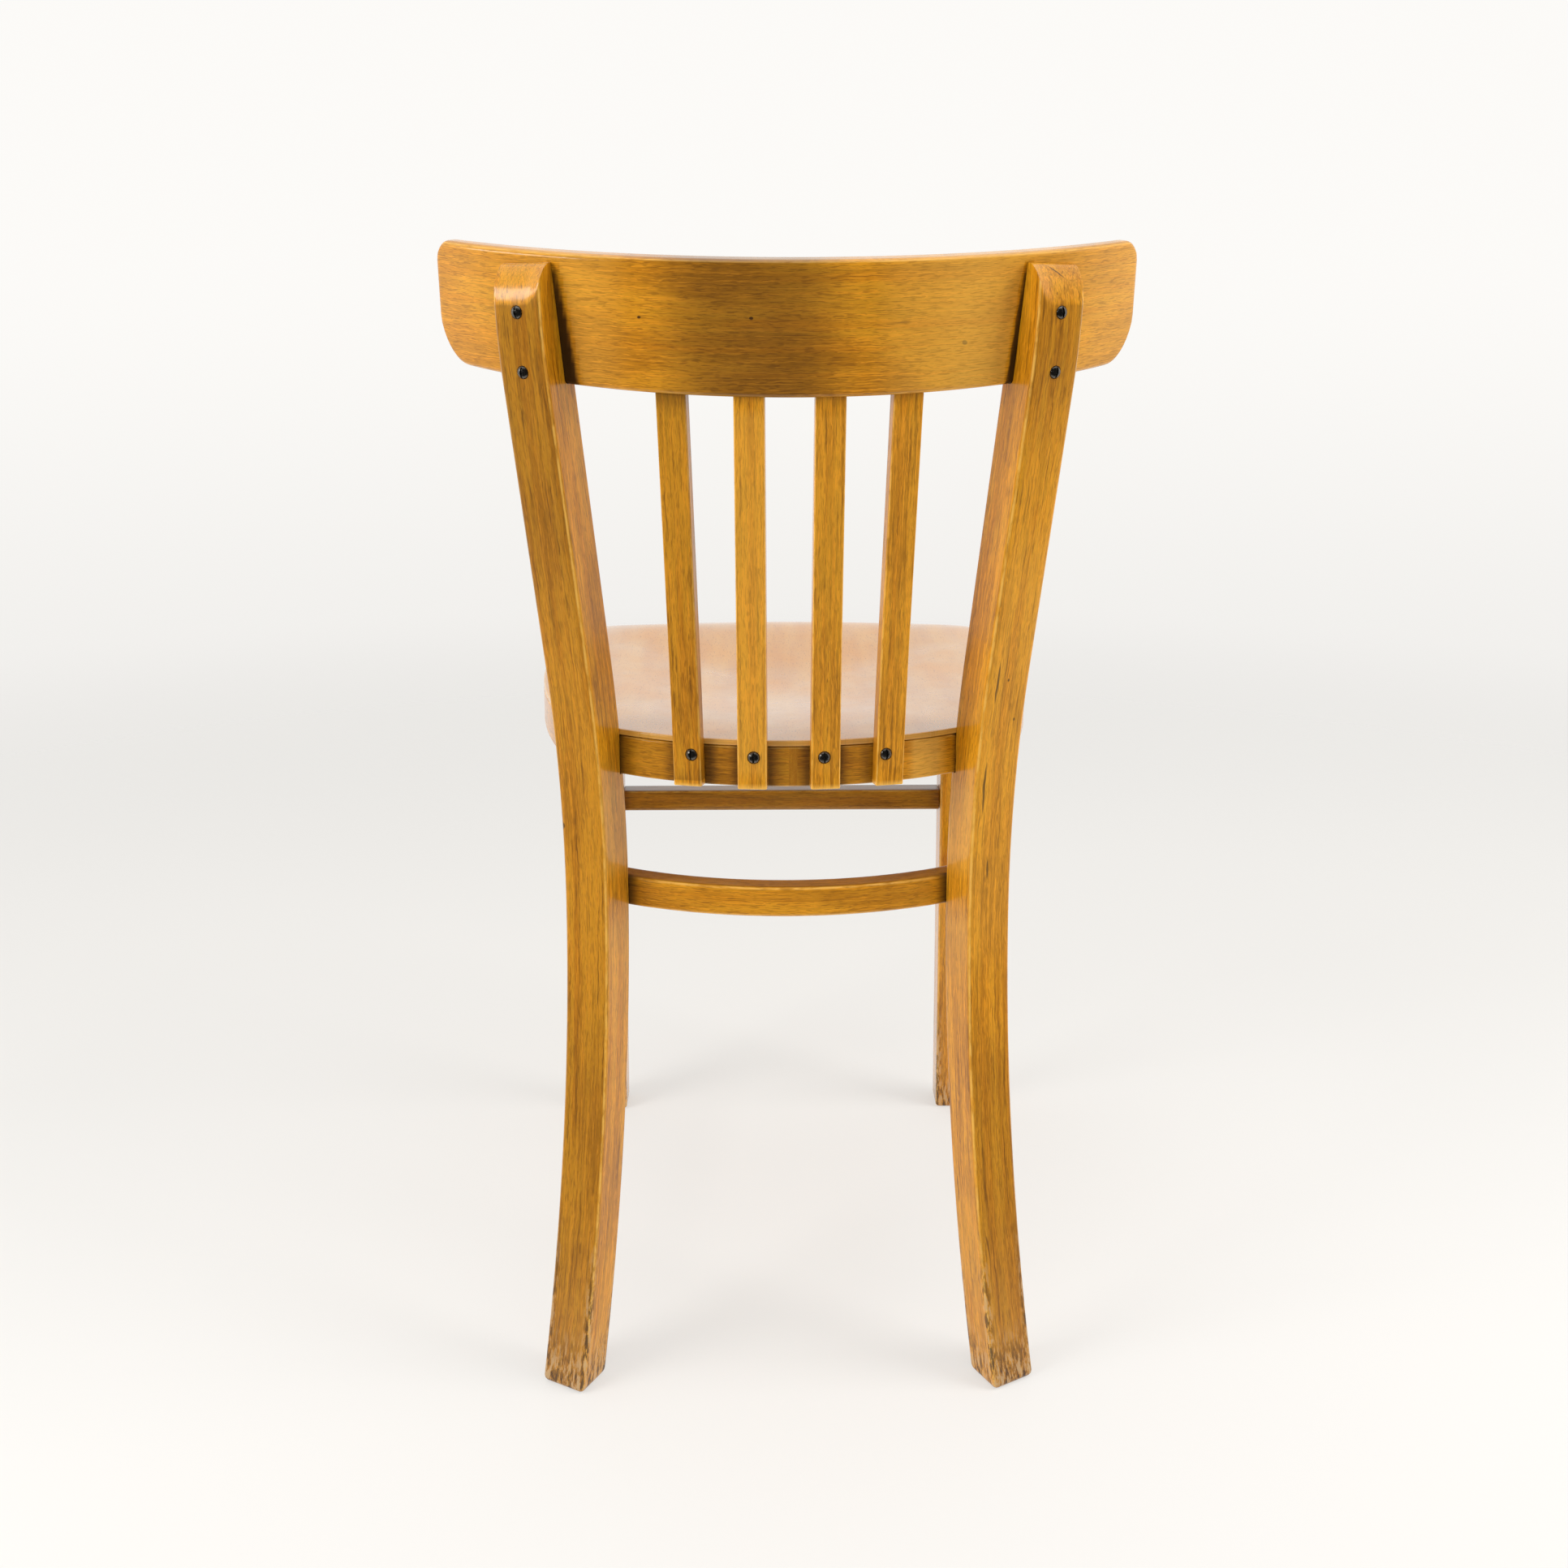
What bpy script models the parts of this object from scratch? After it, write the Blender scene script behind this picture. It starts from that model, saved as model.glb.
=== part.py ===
"""A beech bistro chair, built piece by piece from its driving sizes.

Metres, +Z up. The origin is on the floor under the middle of the chair.
The sitter looks along -Y, so the back is at +Y, and +X is the sitter's left.
"""

import math

import bmesh
import bpy
from mathutils import Matrix, Vector

# Clearance left between two pieces that touch or fit into each other
GAP = 0.0003

# The back line: where the posts stand straight, between the leg's bend and the back's bend
BACK_LINE_X = 0.1330
BACK_LINE_Y = 0.1410
POST_TURN = math.radians(29.0)

# Rear posts
POST_TOP = 0.770
POST_WIDTH = 0.0350
POST_DEPTH = 0.0294
POST_FOOT_SCALE = 0.97
POST_CREST_SCALE = 1.03
POST_BEND_HEIGHT = 0.335
LEG_BEND_RADIUS = 1.24
LEG_BEND_TURN = math.radians(24.0)
BACK_BEND_RADIUS = 0.90
BACK_LEAN = math.radians(10.9)
POST_NOSE_HEIGHT = 0.0235
POST_NOSE_SHARE = 0.56
POST_EDGE = 0.0025

# Top rail
RAIL_RADIUS = 0.3332
RAIL_LEAN = math.radians(10.6)
RAIL_BACK_Y = BACK_LINE_Y + 0.0901
RAIL_MIDDLE_Z = 0.7303
RAIL_HEIGHT = 0.0843
RAIL_THICKNESS = 0.018
RAIL_END_THICKNESS = 0.013
RAIL_HALF_LENGTH = 0.2545
RAIL_END_TAPER = 0.0055
RAIL_TOP_CORNER = (0.011, 0.022)
RAIL_LOWER_CORNER = (0.026, 0.045)
RAIL_EDGE = 0.004

# Seat ring and seat panel: arcs of the outer edge, from the middle of the back to the middle of the front
SEAT_REAR_Y = BACK_LINE_Y + 0.0375
SEAT_ARCS = (
    (0.2176, 34.0),
    (0.1150, 38.0),
    (0.5400, 18.0),
    (None, 0.0960),
    (0.0500, 84.0),
)
SEAT_FRONT_TURN = 6.0
SEAT_TOP = 0.4608
PANEL_THICKNESS = 0.0042
PANEL_DISH = 0.010
PANEL_CROWN = 0.011
PANEL_RIM = 0.86
PANEL_EDGE = 0.0015
RING_WIDTH = 0.0215
RING_BOTTOM = 0.4290
RING_EDGE = 0.0015

# Back slats
SLAT_WIDTH = 0.0196
SLAT_THICKNESS = 0.0090
SLAT_FOOT_X = (0.0648, 0.0234)
SLAT_TOP_X = (0.0735, 0.0252)
SLAT_FOOT_Z = RING_BOTTOM + 0.0006
SLAT_HOUSING = 0.013
SLAT_STRAIGHT_TO = 0.458
SLAT_BEND_LENGTH = 0.060
SLAT_SETBACK = 0.0050
SLAT_EDGE = 0.0012

# Front legs
LEG_TOP_SIZE = 0.0340
LEG_FOOT_SIZE = 0.0310
LEG_TOP_INNER_X = 0.1443
LEG_FOOT_INNER_X = 0.1466
LEG_TOP_REAR_Y = BACK_LINE_Y - 0.3300
LEG_FOOT_REAR_Y = BACK_LINE_Y - 0.3452
LEG_EDGE = 0.0025
LEG_TOP_DROP = 0.0030

# Stretchers
REAR_STRETCHER_RADIUS = 0.2617
REAR_STRETCHER_Y = BACK_LINE_Y + 0.0212
REAR_STRETCHER_Z = (0.3314, 0.3527)
REAR_STRETCHER_DEPTH = 0.018
REAR_STRETCHER_END_X = 0.1400
FRONT_STRETCHER_Z = (0.2939, 0.3127)
FRONT_STRETCHER_DEPTH = 0.020
FRONT_STRETCHER_SETBACK = 0.007
SIDE_STRETCHER_Z = (0.2350, 0.2570)
SIDE_STRETCHER_WIDTH = 0.018
STRETCHER_EDGE = 0.0025
TENON_LENGTH = 0.016
TENON_WIDTH = 0.010
TENON_SHOULDER = 0.004

# Screws
HEAD_RADIUS = 0.0041
HEAD_HEIGHT = 0.0030
SHANK_RADIUS = 0.0020
SCREW_POINT = 0.006
HEAD_SINK = 0.0006
SLOT_WIDTH = 0.0012
SLOT_DEPTH = 0.0014
RAIL_SCREW_Z = (0.7414, 0.7044)
RAIL_SCREW_LENGTH = 0.032
SLAT_SCREW_Z = 0.4515
SLAT_SCREW_LENGTH = 0.022
RING_SCREW_Z = (0.4495, 0.4365)
RING_SCREW_LENGTH = 0.038
LEG_SCREW_Z = (0.4475, 0.4365)
LEG_SCREW_LENGTH = 0.036
STRETCHER_SCREW_LENGTH = 0.032

# Colours and finishes: (red, green, blue), roughness, metallic
BEECH = ((0.50, 0.25, 0.055), 0.35, 0.0)
SEAT_PLY = ((0.55, 0.31, 0.12), 0.30, 0.0)
BLACK_STEEL = ((0.02, 0.02, 0.02), 0.35, 1.0)


def clear_scene():
    """Remove every object of the open file."""
    for obj in list(bpy.data.objects):
        bpy.data.objects.remove(obj, do_unlink=True)


def new_collection(name):
    """Add a collection to the scene."""
    collection = bpy.data.collections.new(name)
    bpy.context.scene.collection.children.link(collection)
    return collection


def add_object(name, mesh, collection):
    """Link a mesh to a collection as an object."""
    obj = bpy.data.objects.new(name, mesh)
    collection.objects.link(obj)
    if collection.name.startswith("cutters"):
        obj.hide_render = True
        obj.display_type = "WIRE"
    return obj


def finish(obj, look):
    """Give a piece its own material."""
    colour, roughness, metallic = look
    material = bpy.data.materials.new(obj.name)
    material.use_nodes = True
    shader = material.node_tree.nodes["Principled BSDF"]
    shader.inputs["Base Color"].default_value = (*colour, 1.0)
    shader.inputs["Roughness"].default_value = roughness
    shader.inputs["Metallic"].default_value = metallic
    if obj.data.users > 1:
        obj.data = obj.data.copy()
    obj.data.materials.clear()
    obj.data.materials.append(material)


def closed_object(name, bm, collection):
    """Turn a closed shape's faces outwards and link it as an object."""
    bm.normal_update()
    bmesh.ops.recalc_face_normals(bm, faces=bm.faces)
    mesh = bpy.data.meshes.new(name)
    bm.to_mesh(mesh)
    bm.free()
    return add_object(name, mesh, collection)


def bar(name, place, stations, collection):
    """Make a bar from a cube: place(fraction, side, rear) puts each corner of each station."""
    bm = bmesh.new()
    bmesh.ops.create_cube(bm, size=2.0)
    long_edges = [e for e in bm.edges if abs(e.verts[0].co.z - e.verts[1].co.z) > 1.0]
    bmesh.ops.subdivide_edges(bm, edges=long_edges, cuts=len(stations) - 2, use_grid_fill=True)
    for vertex in bm.verts:
        index = round((vertex.co.z + 1.0) / 2.0 * (len(stations) - 1))
        vertex.co = place(stations[index], vertex.co.x, vertex.co.y)
    return closed_object(name, bm, collection)


def box(name, lowest, highest, collection):
    """Make a box between two corners."""
    low = Vector(lowest)
    high = Vector(highest)

    def place(fraction, side, rear):
        share = Vector(((side + 1.0) / 2.0, (rear + 1.0) / 2.0, fraction))
        return Vector([low[i] + (high[i] - low[i]) * share[i] for i in range(3)])

    return bar(name, place, (0.0, 0.5, 1.0), collection)


def evenly(count):
    """Fractions from 0 to 1 with equal steps."""
    return [i / count for i in range(count + 1)]


def round_edges(obj, width, segments=2):
    """Round the sharp edges of a piece."""
    bevel = obj.modifiers.new("Rounded edges", "BEVEL")
    bevel.width = width
    bevel.segments = segments
    bevel.limit_method = "ANGLE"
    bevel.angle_limit = math.radians(35.0)


def combine(obj, other, operation):
    """Cut a shape from a piece, or join one to it."""
    boolean = obj.modifiers.new(operation.title() + " " + other.name, "BOOLEAN")
    boolean.operation = operation
    boolean.solver = "EXACT"
    boolean.object = other


def cut(obj, cutter):
    """Cut a shape out of a piece."""
    combine(obj, cutter, "DIFFERENCE")


def join(obj, addition):
    """Join a shape to a piece."""
    combine(obj, addition, "UNION")


# Rear posts

def post_sweep(height):
    """How far out along its own plane the post stands, at a height."""
    if height < POST_BEND_HEIGHT:
        return (POST_BEND_HEIGHT - height) ** 2 / (2.0 * LEG_BEND_RADIUS)
    rise = height - POST_BEND_HEIGHT
    arc_rise = BACK_BEND_RADIUS * math.tan(BACK_LEAN)
    if rise < arc_rise:
        return rise ** 2 / (2.0 * BACK_BEND_RADIUS)
    return arc_rise ** 2 / (2.0 * BACK_BEND_RADIUS) + (rise - arc_rise) * math.tan(BACK_LEAN)


def post_axes(side):
    """The post's directions in plan: across its back face, and out of its back face."""
    across = Vector((side * math.cos(POST_TURN), -math.sin(POST_TURN), 0.0))
    outward = Vector((side * math.sin(POST_TURN), math.cos(POST_TURN), 0.0))
    return across, outward


def post_centre(side, height):
    """A point of the post's centre line."""
    bend_turn = LEG_BEND_TURN if height < POST_BEND_HEIGHT else POST_TURN
    bend = Vector((side * math.sin(bend_turn), math.cos(bend_turn), 0.0))
    return Vector((side * BACK_LINE_X, BACK_LINE_Y, height)) + bend * post_sweep(height)


def post_point(side, height, across_part, outward_part):
    """A point of the post's section: the parts run from -1 to 1 over its width and its depth."""
    across, outward = post_axes(side)
    scale = POST_FOOT_SCALE + (POST_CREST_SCALE - POST_FOOT_SCALE) * height / POST_TOP
    return (post_centre(side, height) + across * (across_part * POST_WIDTH / 2.0 * scale)
            + outward * (outward_part * POST_DEPTH / 2.0 * scale))


def post_normal(side, height):
    """The direction out of the post's back face at a height."""
    across, outward = post_axes(side)
    run = post_centre(side, height + 0.001) - post_centre(side, height - 0.001)
    return run.cross(across * side).normalized()


def make_nose_cutter(name, side):
    """The waste behind a post's quarter-round top, as a fan about the round's centre."""
    reach = POST_DEPTH * POST_NOSE_SHARE
    straight_top = POST_TOP - POST_NOSE_HEIGHT

    def place(quarter, across_part, waste_part):
        spread = 1.0 if waste_part < 0.0 else 2.2
        angle = quarter * math.pi / 2.0
        outward = POST_DEPTH / 2.0 - reach + reach * spread * math.cos(angle)
        height = straight_top + POST_NOSE_HEIGHT * spread * math.sin(angle)
        return post_point(side, height, across_part * 1.5, outward / (POST_DEPTH / 2.0))

    return bar(name, place, evenly(6), cutters)


def make_post(name, side):
    """One bent post, with its top rounded over from the back face towards the rail."""
    def place(fraction, across_part, outward_part):
        return post_point(side, POST_TOP * fraction, across_part, outward_part)

    post = bar(name, place, evenly(16), pieces)
    round_edges(post, POST_EDGE, 2)
    cut(post, make_nose_cutter(name + "_nose", side))
    finish(post, BEECH)
    return post


# Top rail

def rail_point(along, up, depth):
    """A point of the rail: along its length, up its face, and depth in front of its back face."""
    angle = along / RAIL_RADIUS
    radius = RAIL_RADIUS - depth
    forward = RAIL_RADIUS - radius * math.cos(angle)
    return Vector((radius * math.sin(angle),
                   RAIL_BACK_Y - forward * math.cos(RAIL_LEAN) + up * math.sin(RAIL_LEAN),
                   RAIL_MIDDLE_Z + forward * math.sin(RAIL_LEAN) + up * math.cos(RAIL_LEAN)))


def rail_reach(up):
    """How far the rail runs each way at a height on its face: its corners are quarter ellipses."""
    half = RAIL_HEIGHT / 2.0
    length, height = RAIL_TOP_CORNER if up > 0.0 else RAIL_LOWER_CORNER
    into_corner = max(0.0, (abs(up) - (half - height)) / height)
    return RAIL_HALF_LENGTH - length * (1.0 - math.sqrt(max(0.0, 1.0 - into_corner ** 2)))


def make_rail(name, collection, grow=0.0):
    """The bent crest board: a flat grid, shaped and bent. A grown one is the shape of its housing."""
    rows = 8
    columns = 28
    half = RAIL_HEIGHT / 2.0
    bm = bmesh.new()
    bmesh.ops.create_grid(bm, x_segments=columns, y_segments=rows, size=1.0)
    back = []
    for vertex in bm.verts:
        up = half * math.sin(vertex.co.y * math.pi / 2.0)
        along = math.sin(vertex.co.x * math.radians(72.0)) / math.sin(math.radians(72.0)) * rail_reach(up)
        taper = RAIL_END_TAPER * (along / RAIL_HALF_LENGTH) ** 2 * (0.5 - up / RAIL_HEIGHT)
        back.append((along * (1.0 + grow / RAIL_HALF_LENGTH), (up + taper) * (1.0 + grow / half)))
    grid_faces = list(bm.faces)
    front = bmesh.ops.duplicate(bm, geom=bm.verts[:] + bm.edges[:] + grid_faces)["vert_map"]
    pairs = [(v, front[v]) for v in list(bm.verts)[:len(back)]]
    for (vertex, twin), (along, up) in zip(pairs, back):
        end_share = min(1.0, abs(along) / RAIL_HALF_LENGTH) ** 3
        thickness = RAIL_THICKNESS + (RAIL_END_THICKNESS - RAIL_THICKNESS) * end_share
        vertex.co = rail_point(along, up, -grow)
        twin.co = rail_point(along, up, thickness + grow)
    rims = [e for e in bm.edges if e.is_boundary]
    bmesh.ops.bridge_loops(bm, edges=rims)
    rail = closed_object(name, bm, collection)
    round_edges(rail, RAIL_EDGE, 2)
    return rail


# Seat ring and seat panel

def seat_outline(offset, spacing=0.018):
    """The seat's outline, from the middle of the back, round by +X, closed, moved out by offset."""
    x = 0.0
    y = SEAT_REAR_Y + offset
    heading = 0.0
    half = [(x, y)]
    for radius, amount in SEAT_ARCS:
        if radius is None:
            x += amount * math.cos(heading)
            y -= amount * math.sin(heading)
            half.append((x, y))
            continue
        turn = math.radians(amount)
        half += arc_points(x, y, heading, radius + offset, turn, spacing)
        x, y = half[-1]
        heading += turn
    front_turn = math.radians(SEAT_FRONT_TURN)
    half += arc_points(x, y, heading, x / math.sin(front_turn), front_turn, spacing)
    half[-1] = (0.0, half[-1][1])
    return half + [(-px, py) for px, py in reversed(half[1:-1])]


def arc_points(x, y, heading, radius, turn, spacing):
    """Points of an arc that starts at (x, y) and turns towards the front."""
    count = max(6, round(radius * turn / spacing))
    points = []
    for i in range(1, count + 1):
        angle = heading + turn * i / count
        points.append((x + radius * (math.sin(angle) - math.sin(heading)),
                       y - radius * (math.cos(heading) - math.cos(angle))))
    return points


def flat_plate(name, outlines, bottom, top, bevel, collection):
    """A plate between two heights, made a mesh. Its bevel stands out from the outlines given."""
    curve = bpy.data.curves.new(name, "CURVE")
    curve.dimensions = "2D"
    curve.fill_mode = "BOTH"
    curve.extrude = (top - bottom) / 2.0 - bevel
    curve.bevel_depth = bevel
    curve.bevel_resolution = 0
    for outline in outlines:
        spline = curve.splines.new("POLY")
        spline.points.add(len(outline) - 1)
        for point, (x, y) in zip(spline.points, outline):
            point.co = (x, y, 0.0, 1.0)
        spline.use_cyclic_u = True
    source = bpy.data.objects.new(name + "_outline", curve)
    source.location.z = (bottom + top) / 2.0
    collection.objects.link(source)
    bpy.context.view_layer.update()
    evaluated = source.evaluated_get(bpy.context.evaluated_depsgraph_get())
    mesh = bpy.data.meshes.new_from_object(evaluated)
    mesh.transform(source.matrix_world)
    bpy.data.objects.remove(source, do_unlink=True)
    bm = bmesh.new()
    bm.from_mesh(mesh)
    bpy.data.meshes.remove(mesh)
    bmesh.ops.remove_doubles(bm, verts=bm.verts, dist=0.00001)
    return closed_object(name, bm, collection)


def outline_radius(outline, centre, angle):
    """How far the outline is from a centre, in one direction."""
    direction = Vector((math.cos(angle), math.sin(angle)))
    best = 0.0
    for (ax, ay), (bx, by) in zip(outline, outline[1:] + outline[:1]):
        start = Vector((ax, ay)) - centre
        step = Vector((bx, by)) - Vector((ax, ay))
        bottom = direction.x * step.y - direction.y * step.x
        if abs(bottom) < 1e-12:
            continue
        reach = (start.x * step.y - start.y * step.x) / bottom
        share = (start.x * direction.y - start.y * direction.x) / bottom
        if reach > 0.0 and -1e-9 <= share <= 1.0 + 1e-9:
            best = max(best, reach)
    return best


def panel_rise(share, towards_front):
    """The panel's height over its edge: dished in the middle, and rolled over behind the front edge."""
    inner = min(1.0, share / PANEL_RIM)
    dish = PANEL_DISH * (1.0 - inner ** 2) ** 2
    crown = PANEL_CROWN * max(0.0, towards_front) ** 2 * (1.0 - share ** 10)
    return crown - dish


def make_panel(name):
    """The moulded plywood seat: a grid drawn out to the outline and pressed down in the middle."""
    outline = seat_outline(0.0, 0.004)
    front_y = min(y for x, y in outline)
    centre = Vector((0.0, (SEAT_REAR_Y + front_y) / 2.0 + 0.010))
    bm = bmesh.new()
    bmesh.ops.create_grid(bm, x_segments=14, y_segments=14, size=1.0)
    for vertex in bm.verts:
        a, b = vertex.co.x, vertex.co.y
        disc = Vector((a * math.sqrt(1.0 - b * b / 2.0), b * math.sqrt(1.0 - a * a / 2.0)))
        share = min(1.0, disc.length)
        angle = math.atan2(disc.y, disc.x)
        reach = share * outline_radius(outline, centre, angle)
        vertex.co = (centre.x + reach * math.cos(angle), centre.y + reach * math.sin(angle),
                     SEAT_TOP + panel_rise(share, -disc.y))
    bm.normal_update()
    if sum(face.normal.z for face in bm.faces) < 0.0:
        bmesh.ops.reverse_faces(bm, faces=bm.faces)
    mesh = bpy.data.meshes.new(name)
    bm.to_mesh(mesh)
    bm.free()
    panel = add_object(name, mesh, pieces)
    ply = panel.modifiers.new("Plywood", "SOLIDIFY")
    ply.thickness = PANEL_THICKNESS
    ply.offset = -1.0
    round_edges(panel, PANEL_EDGE, 2)
    finish(panel, SEAT_PLY)
    return panel


def ring_surface(x, offset=0.0):
    """The ring's rear surface over its first arc: a point at x, and its direction out of the wood."""
    radius = SEAT_ARCS[0][0] + offset
    angle = math.asin(x / radius)
    y = SEAT_REAR_Y + offset - radius * (1.0 - math.cos(angle))
    return Vector((x, y, 0.0)), Vector((math.sin(angle), math.cos(angle), 0.0))


# Back slats

def slat_lean(height):
    """How far along its way back a slat has come at a height, from 0 at its foot to 1 at the rail."""
    top = slat_top_height()
    whole = top - SLAT_STRAIGHT_TO - SLAT_BEND_LENGTH / 2.0
    rise = height - SLAT_STRAIGHT_TO
    if rise <= 0.0:
        return 0.0
    if rise < SLAT_BEND_LENGTH:
        return rise ** 2 / (2.0 * SLAT_BEND_LENGTH) / whole
    return (rise - SLAT_BEND_LENGTH / 2.0) / whole


def slat_top_height():
    """Height of the rail's lower edge at its middle, where the slats go in."""
    return rail_point(0.0, -RAIL_HEIGHT / 2.0, RAIL_THICKNESS / 2.0).z


def make_slat(name, side, foot_x, top_x, collection, grow=0.0):
    """One bent slat. A grown one is the shape of its housing."""
    foot, foot_out = ring_surface(foot_x)
    foot += foot_out * (SLAT_THICKNESS / 2.0 + GAP)
    rail_angle = math.asin(top_x / (RAIL_RADIUS - SLAT_SETBACK - SLAT_THICKNESS / 2.0))
    top = rail_point(rail_angle * RAIL_RADIUS, -RAIL_HEIGHT / 2.0, SLAT_SETBACK + SLAT_THICKNESS / 2.0)
    foot_angle = math.atan2(foot_out.x, foot_out.y)
    top_height = slat_top_height() + SLAT_HOUSING + grow

    def place(fraction, across_part, outward_part):
        height = SLAT_FOOT_Z + (top_height - SLAT_FOOT_Z) * fraction
        lean = slat_lean(height)
        climb = (height - SLAT_FOOT_Z) / (slat_top_height() - SLAT_FOOT_Z)
        angle = foot_angle + (rail_angle - foot_angle) * climb
        x = foot.x + (top.x - foot.x) * climb
        y = foot.y + (top.y - foot.y) * lean
        half_width = SLAT_WIDTH / 2.0 + grow
        half_depth = SLAT_THICKNESS / 2.0 + grow
        x += across_part * half_width * math.cos(angle) + outward_part * half_depth * math.sin(angle)
        y += outward_part * half_depth * math.cos(angle) - across_part * half_width * math.sin(angle)
        return Vector((side * x, y, height))

    slat = bar(name, place, evenly(12), collection)
    round_edges(slat, SLAT_EDGE, 2)
    return slat


# Front legs

def leg_point(side, height, across_part, rear_part):
    """A point of a front leg's section: the parts run from -1 to 1, to the outside and to the rear."""
    climb = height / RING_BOTTOM
    size = LEG_FOOT_SIZE + (LEG_TOP_SIZE - LEG_FOOT_SIZE) * climb
    inner_x = LEG_FOOT_INNER_X + (LEG_TOP_INNER_X - LEG_FOOT_INNER_X) * climb
    rear_y = LEG_FOOT_REAR_Y + (LEG_TOP_REAR_Y - LEG_FOOT_REAR_Y) * climb
    return Vector((side * (inner_x + size * (across_part + 1.0) / 2.0),
                   rear_y - size * (1.0 - rear_part) / 2.0, height))


def make_leg(name, side):
    """One square, slightly splayed front leg that rises inside the seat ring."""
    top = SEAT_TOP - PANEL_THICKNESS - LEG_TOP_DROP

    def place(fraction, across_part, rear_part):
        return leg_point(side, top * fraction, across_part, rear_part)

    leg = bar(name, place, evenly(6), pieces)
    round_edges(leg, LEG_EDGE, 2)
    finish(leg, BEECH)
    return leg


# Stretchers

def make_rear_stretcher(name, collection, grow=0.0):
    """The bent rear stretcher, which laps on the front of both posts."""
    end_angle = math.asin(REAR_STRETCHER_END_X / REAR_STRETCHER_RADIUS)
    low, high = REAR_STRETCHER_Z

    def place(fraction, up_part, rear_part):
        angle = (2.0 * fraction - 1.0) * end_angle * (1.0 + grow / REAR_STRETCHER_END_X)
        depth = REAR_STRETCHER_DEPTH * (1.0 - rear_part) / 2.0 - rear_part * grow
        radius = REAR_STRETCHER_RADIUS - depth
        height = (low + high) / 2.0 + up_part * ((high - low) / 2.0 + grow)
        return Vector((radius * math.sin(angle),
                       REAR_STRETCHER_Y - REAR_STRETCHER_RADIUS + radius * math.cos(angle), height))

    stretcher = bar(name, place, evenly(16), collection)
    round_edges(stretcher, STRETCHER_EDGE, 2)
    return stretcher


def straight_stretcher(name, start, end, width, height, start_normal, end_normal):
    """A level bar between points on two faces, with their normals, and a tenon at each end."""
    run = (end - start).normalized()
    across = Vector((run.y, -run.x, 0.0))
    up = Vector((0.0, 0.0, 1.0))

    def reach(fraction, side_step, up_step, past):
        base = start + across * side_step + up * up_step
        first = base + run * ((start - base).dot(start_normal) / run.dot(start_normal) - past)
        last = base + run * ((end - base).dot(end_normal) / run.dot(end_normal) + past)
        return first.lerp(last, fraction)

    def body(fraction, across_part, up_part):
        return reach(fraction, across_part * width / 2.0, up_part * height / 2.0, -GAP)

    def tenon_place(grow):
        def place(fraction, across_part, up_part):
            return reach(fraction, across_part * (TENON_WIDTH / 2.0 + grow),
                         up_part * (height / 2.0 - TENON_SHOULDER + grow), TENON_LENGTH + grow)
        return place

    stretcher = bar(name, body, evenly(4), pieces)
    round_edges(stretcher, STRETCHER_EDGE, 2)
    tenon = bar(name + "_tenon", tenon_place(0.0), evenly(2), cutters)
    mortise = bar(name + "_mortise", tenon_place(GAP), evenly(2), cutters)
    join(stretcher, tenon)
    finish(stretcher, BEECH)
    return stretcher, mortise


# Screws

def screw_mesh(name, length, grow=0.0):
    """A round-head wood screw along -Z, its head's underside at the origin, turned from a profile."""
    head = HEAD_RADIUS + grow
    shank = SHANK_RADIUS + grow
    rise = HEAD_HEIGHT + grow
    profile = [(0.0, rise)]
    for degrees in (30, 58, 80):
        angle = math.radians(degrees)
        profile.append((head * math.sin(angle), rise * math.cos(angle)))
    profile += [(head, -grow), (shank, -grow), (shank, SCREW_POINT - length), (0.0, -length - grow)]
    mesh = bpy.data.meshes.new(name)
    mesh.from_pydata([(x, 0.0, z) for x, z in profile], [(i, i + 1) for i in range(len(profile) - 1)], [])
    source = bpy.data.objects.new(name, mesh)
    cutters.objects.link(source)
    turned = source.modifiers.new("Turned", "SCREW")
    turned.axis = "Z"
    turned.steps = 12
    turned.render_steps = 12
    turned.use_merge_vertices = True
    turned.merge_threshold = 0.00001
    turned.use_smooth_shade = True
    if grow == 0.0:
        slot = box(name + "_slot", (-SLOT_WIDTH / 2.0, -HEAD_RADIUS * 2.0, HEAD_HEIGHT - SLOT_DEPTH),
                   (SLOT_WIDTH / 2.0, HEAD_RADIUS * 2.0, HEAD_HEIGHT * 2.0), cutters)
        cut(source, slot)
    bpy.context.view_layer.update()
    evaluated = source.evaluated_get(bpy.context.evaluated_depsgraph_get())
    result = bpy.data.meshes.new_from_object(evaluated)
    result.name = name
    bpy.data.objects.remove(source, do_unlink=True)
    return result


def drive_screw(name, length, point, outward, slot_turn, through):
    """Drive one screw at a point of a face, and cut its hole in the pieces it goes through."""
    outward = outward.normalized()
    turn = outward.to_track_quat("Z", "Y").to_matrix().to_4x4() @ Matrix.Rotation(slot_turn, 4, "Z")
    matrix = Matrix.Translation(point - outward * HEAD_SINK) @ turn
    screw = add_object(name, screw_meshes[length], pieces)
    screw.matrix_world = matrix
    finish(screw, BLACK_STEEL)
    hole = add_object(name + "_hole", hole_meshes[length], cutters)
    hole.matrix_world = matrix
    for piece in through:
        cut(piece, hole)


clear_scene()
pieces = new_collection("bistro_chair")
cutters = new_collection("cutters")

posts = {1: make_post("rear_post_left", 1), -1: make_post("rear_post_right", -1)}
legs = {1: make_leg("front_leg_left", 1), -1: make_leg("front_leg_right", -1)}

top_rail = make_rail("top_rail", pieces)
finish(top_rail, BEECH)
rail_housing = make_rail("top_rail_housing", cutters, GAP)

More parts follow.
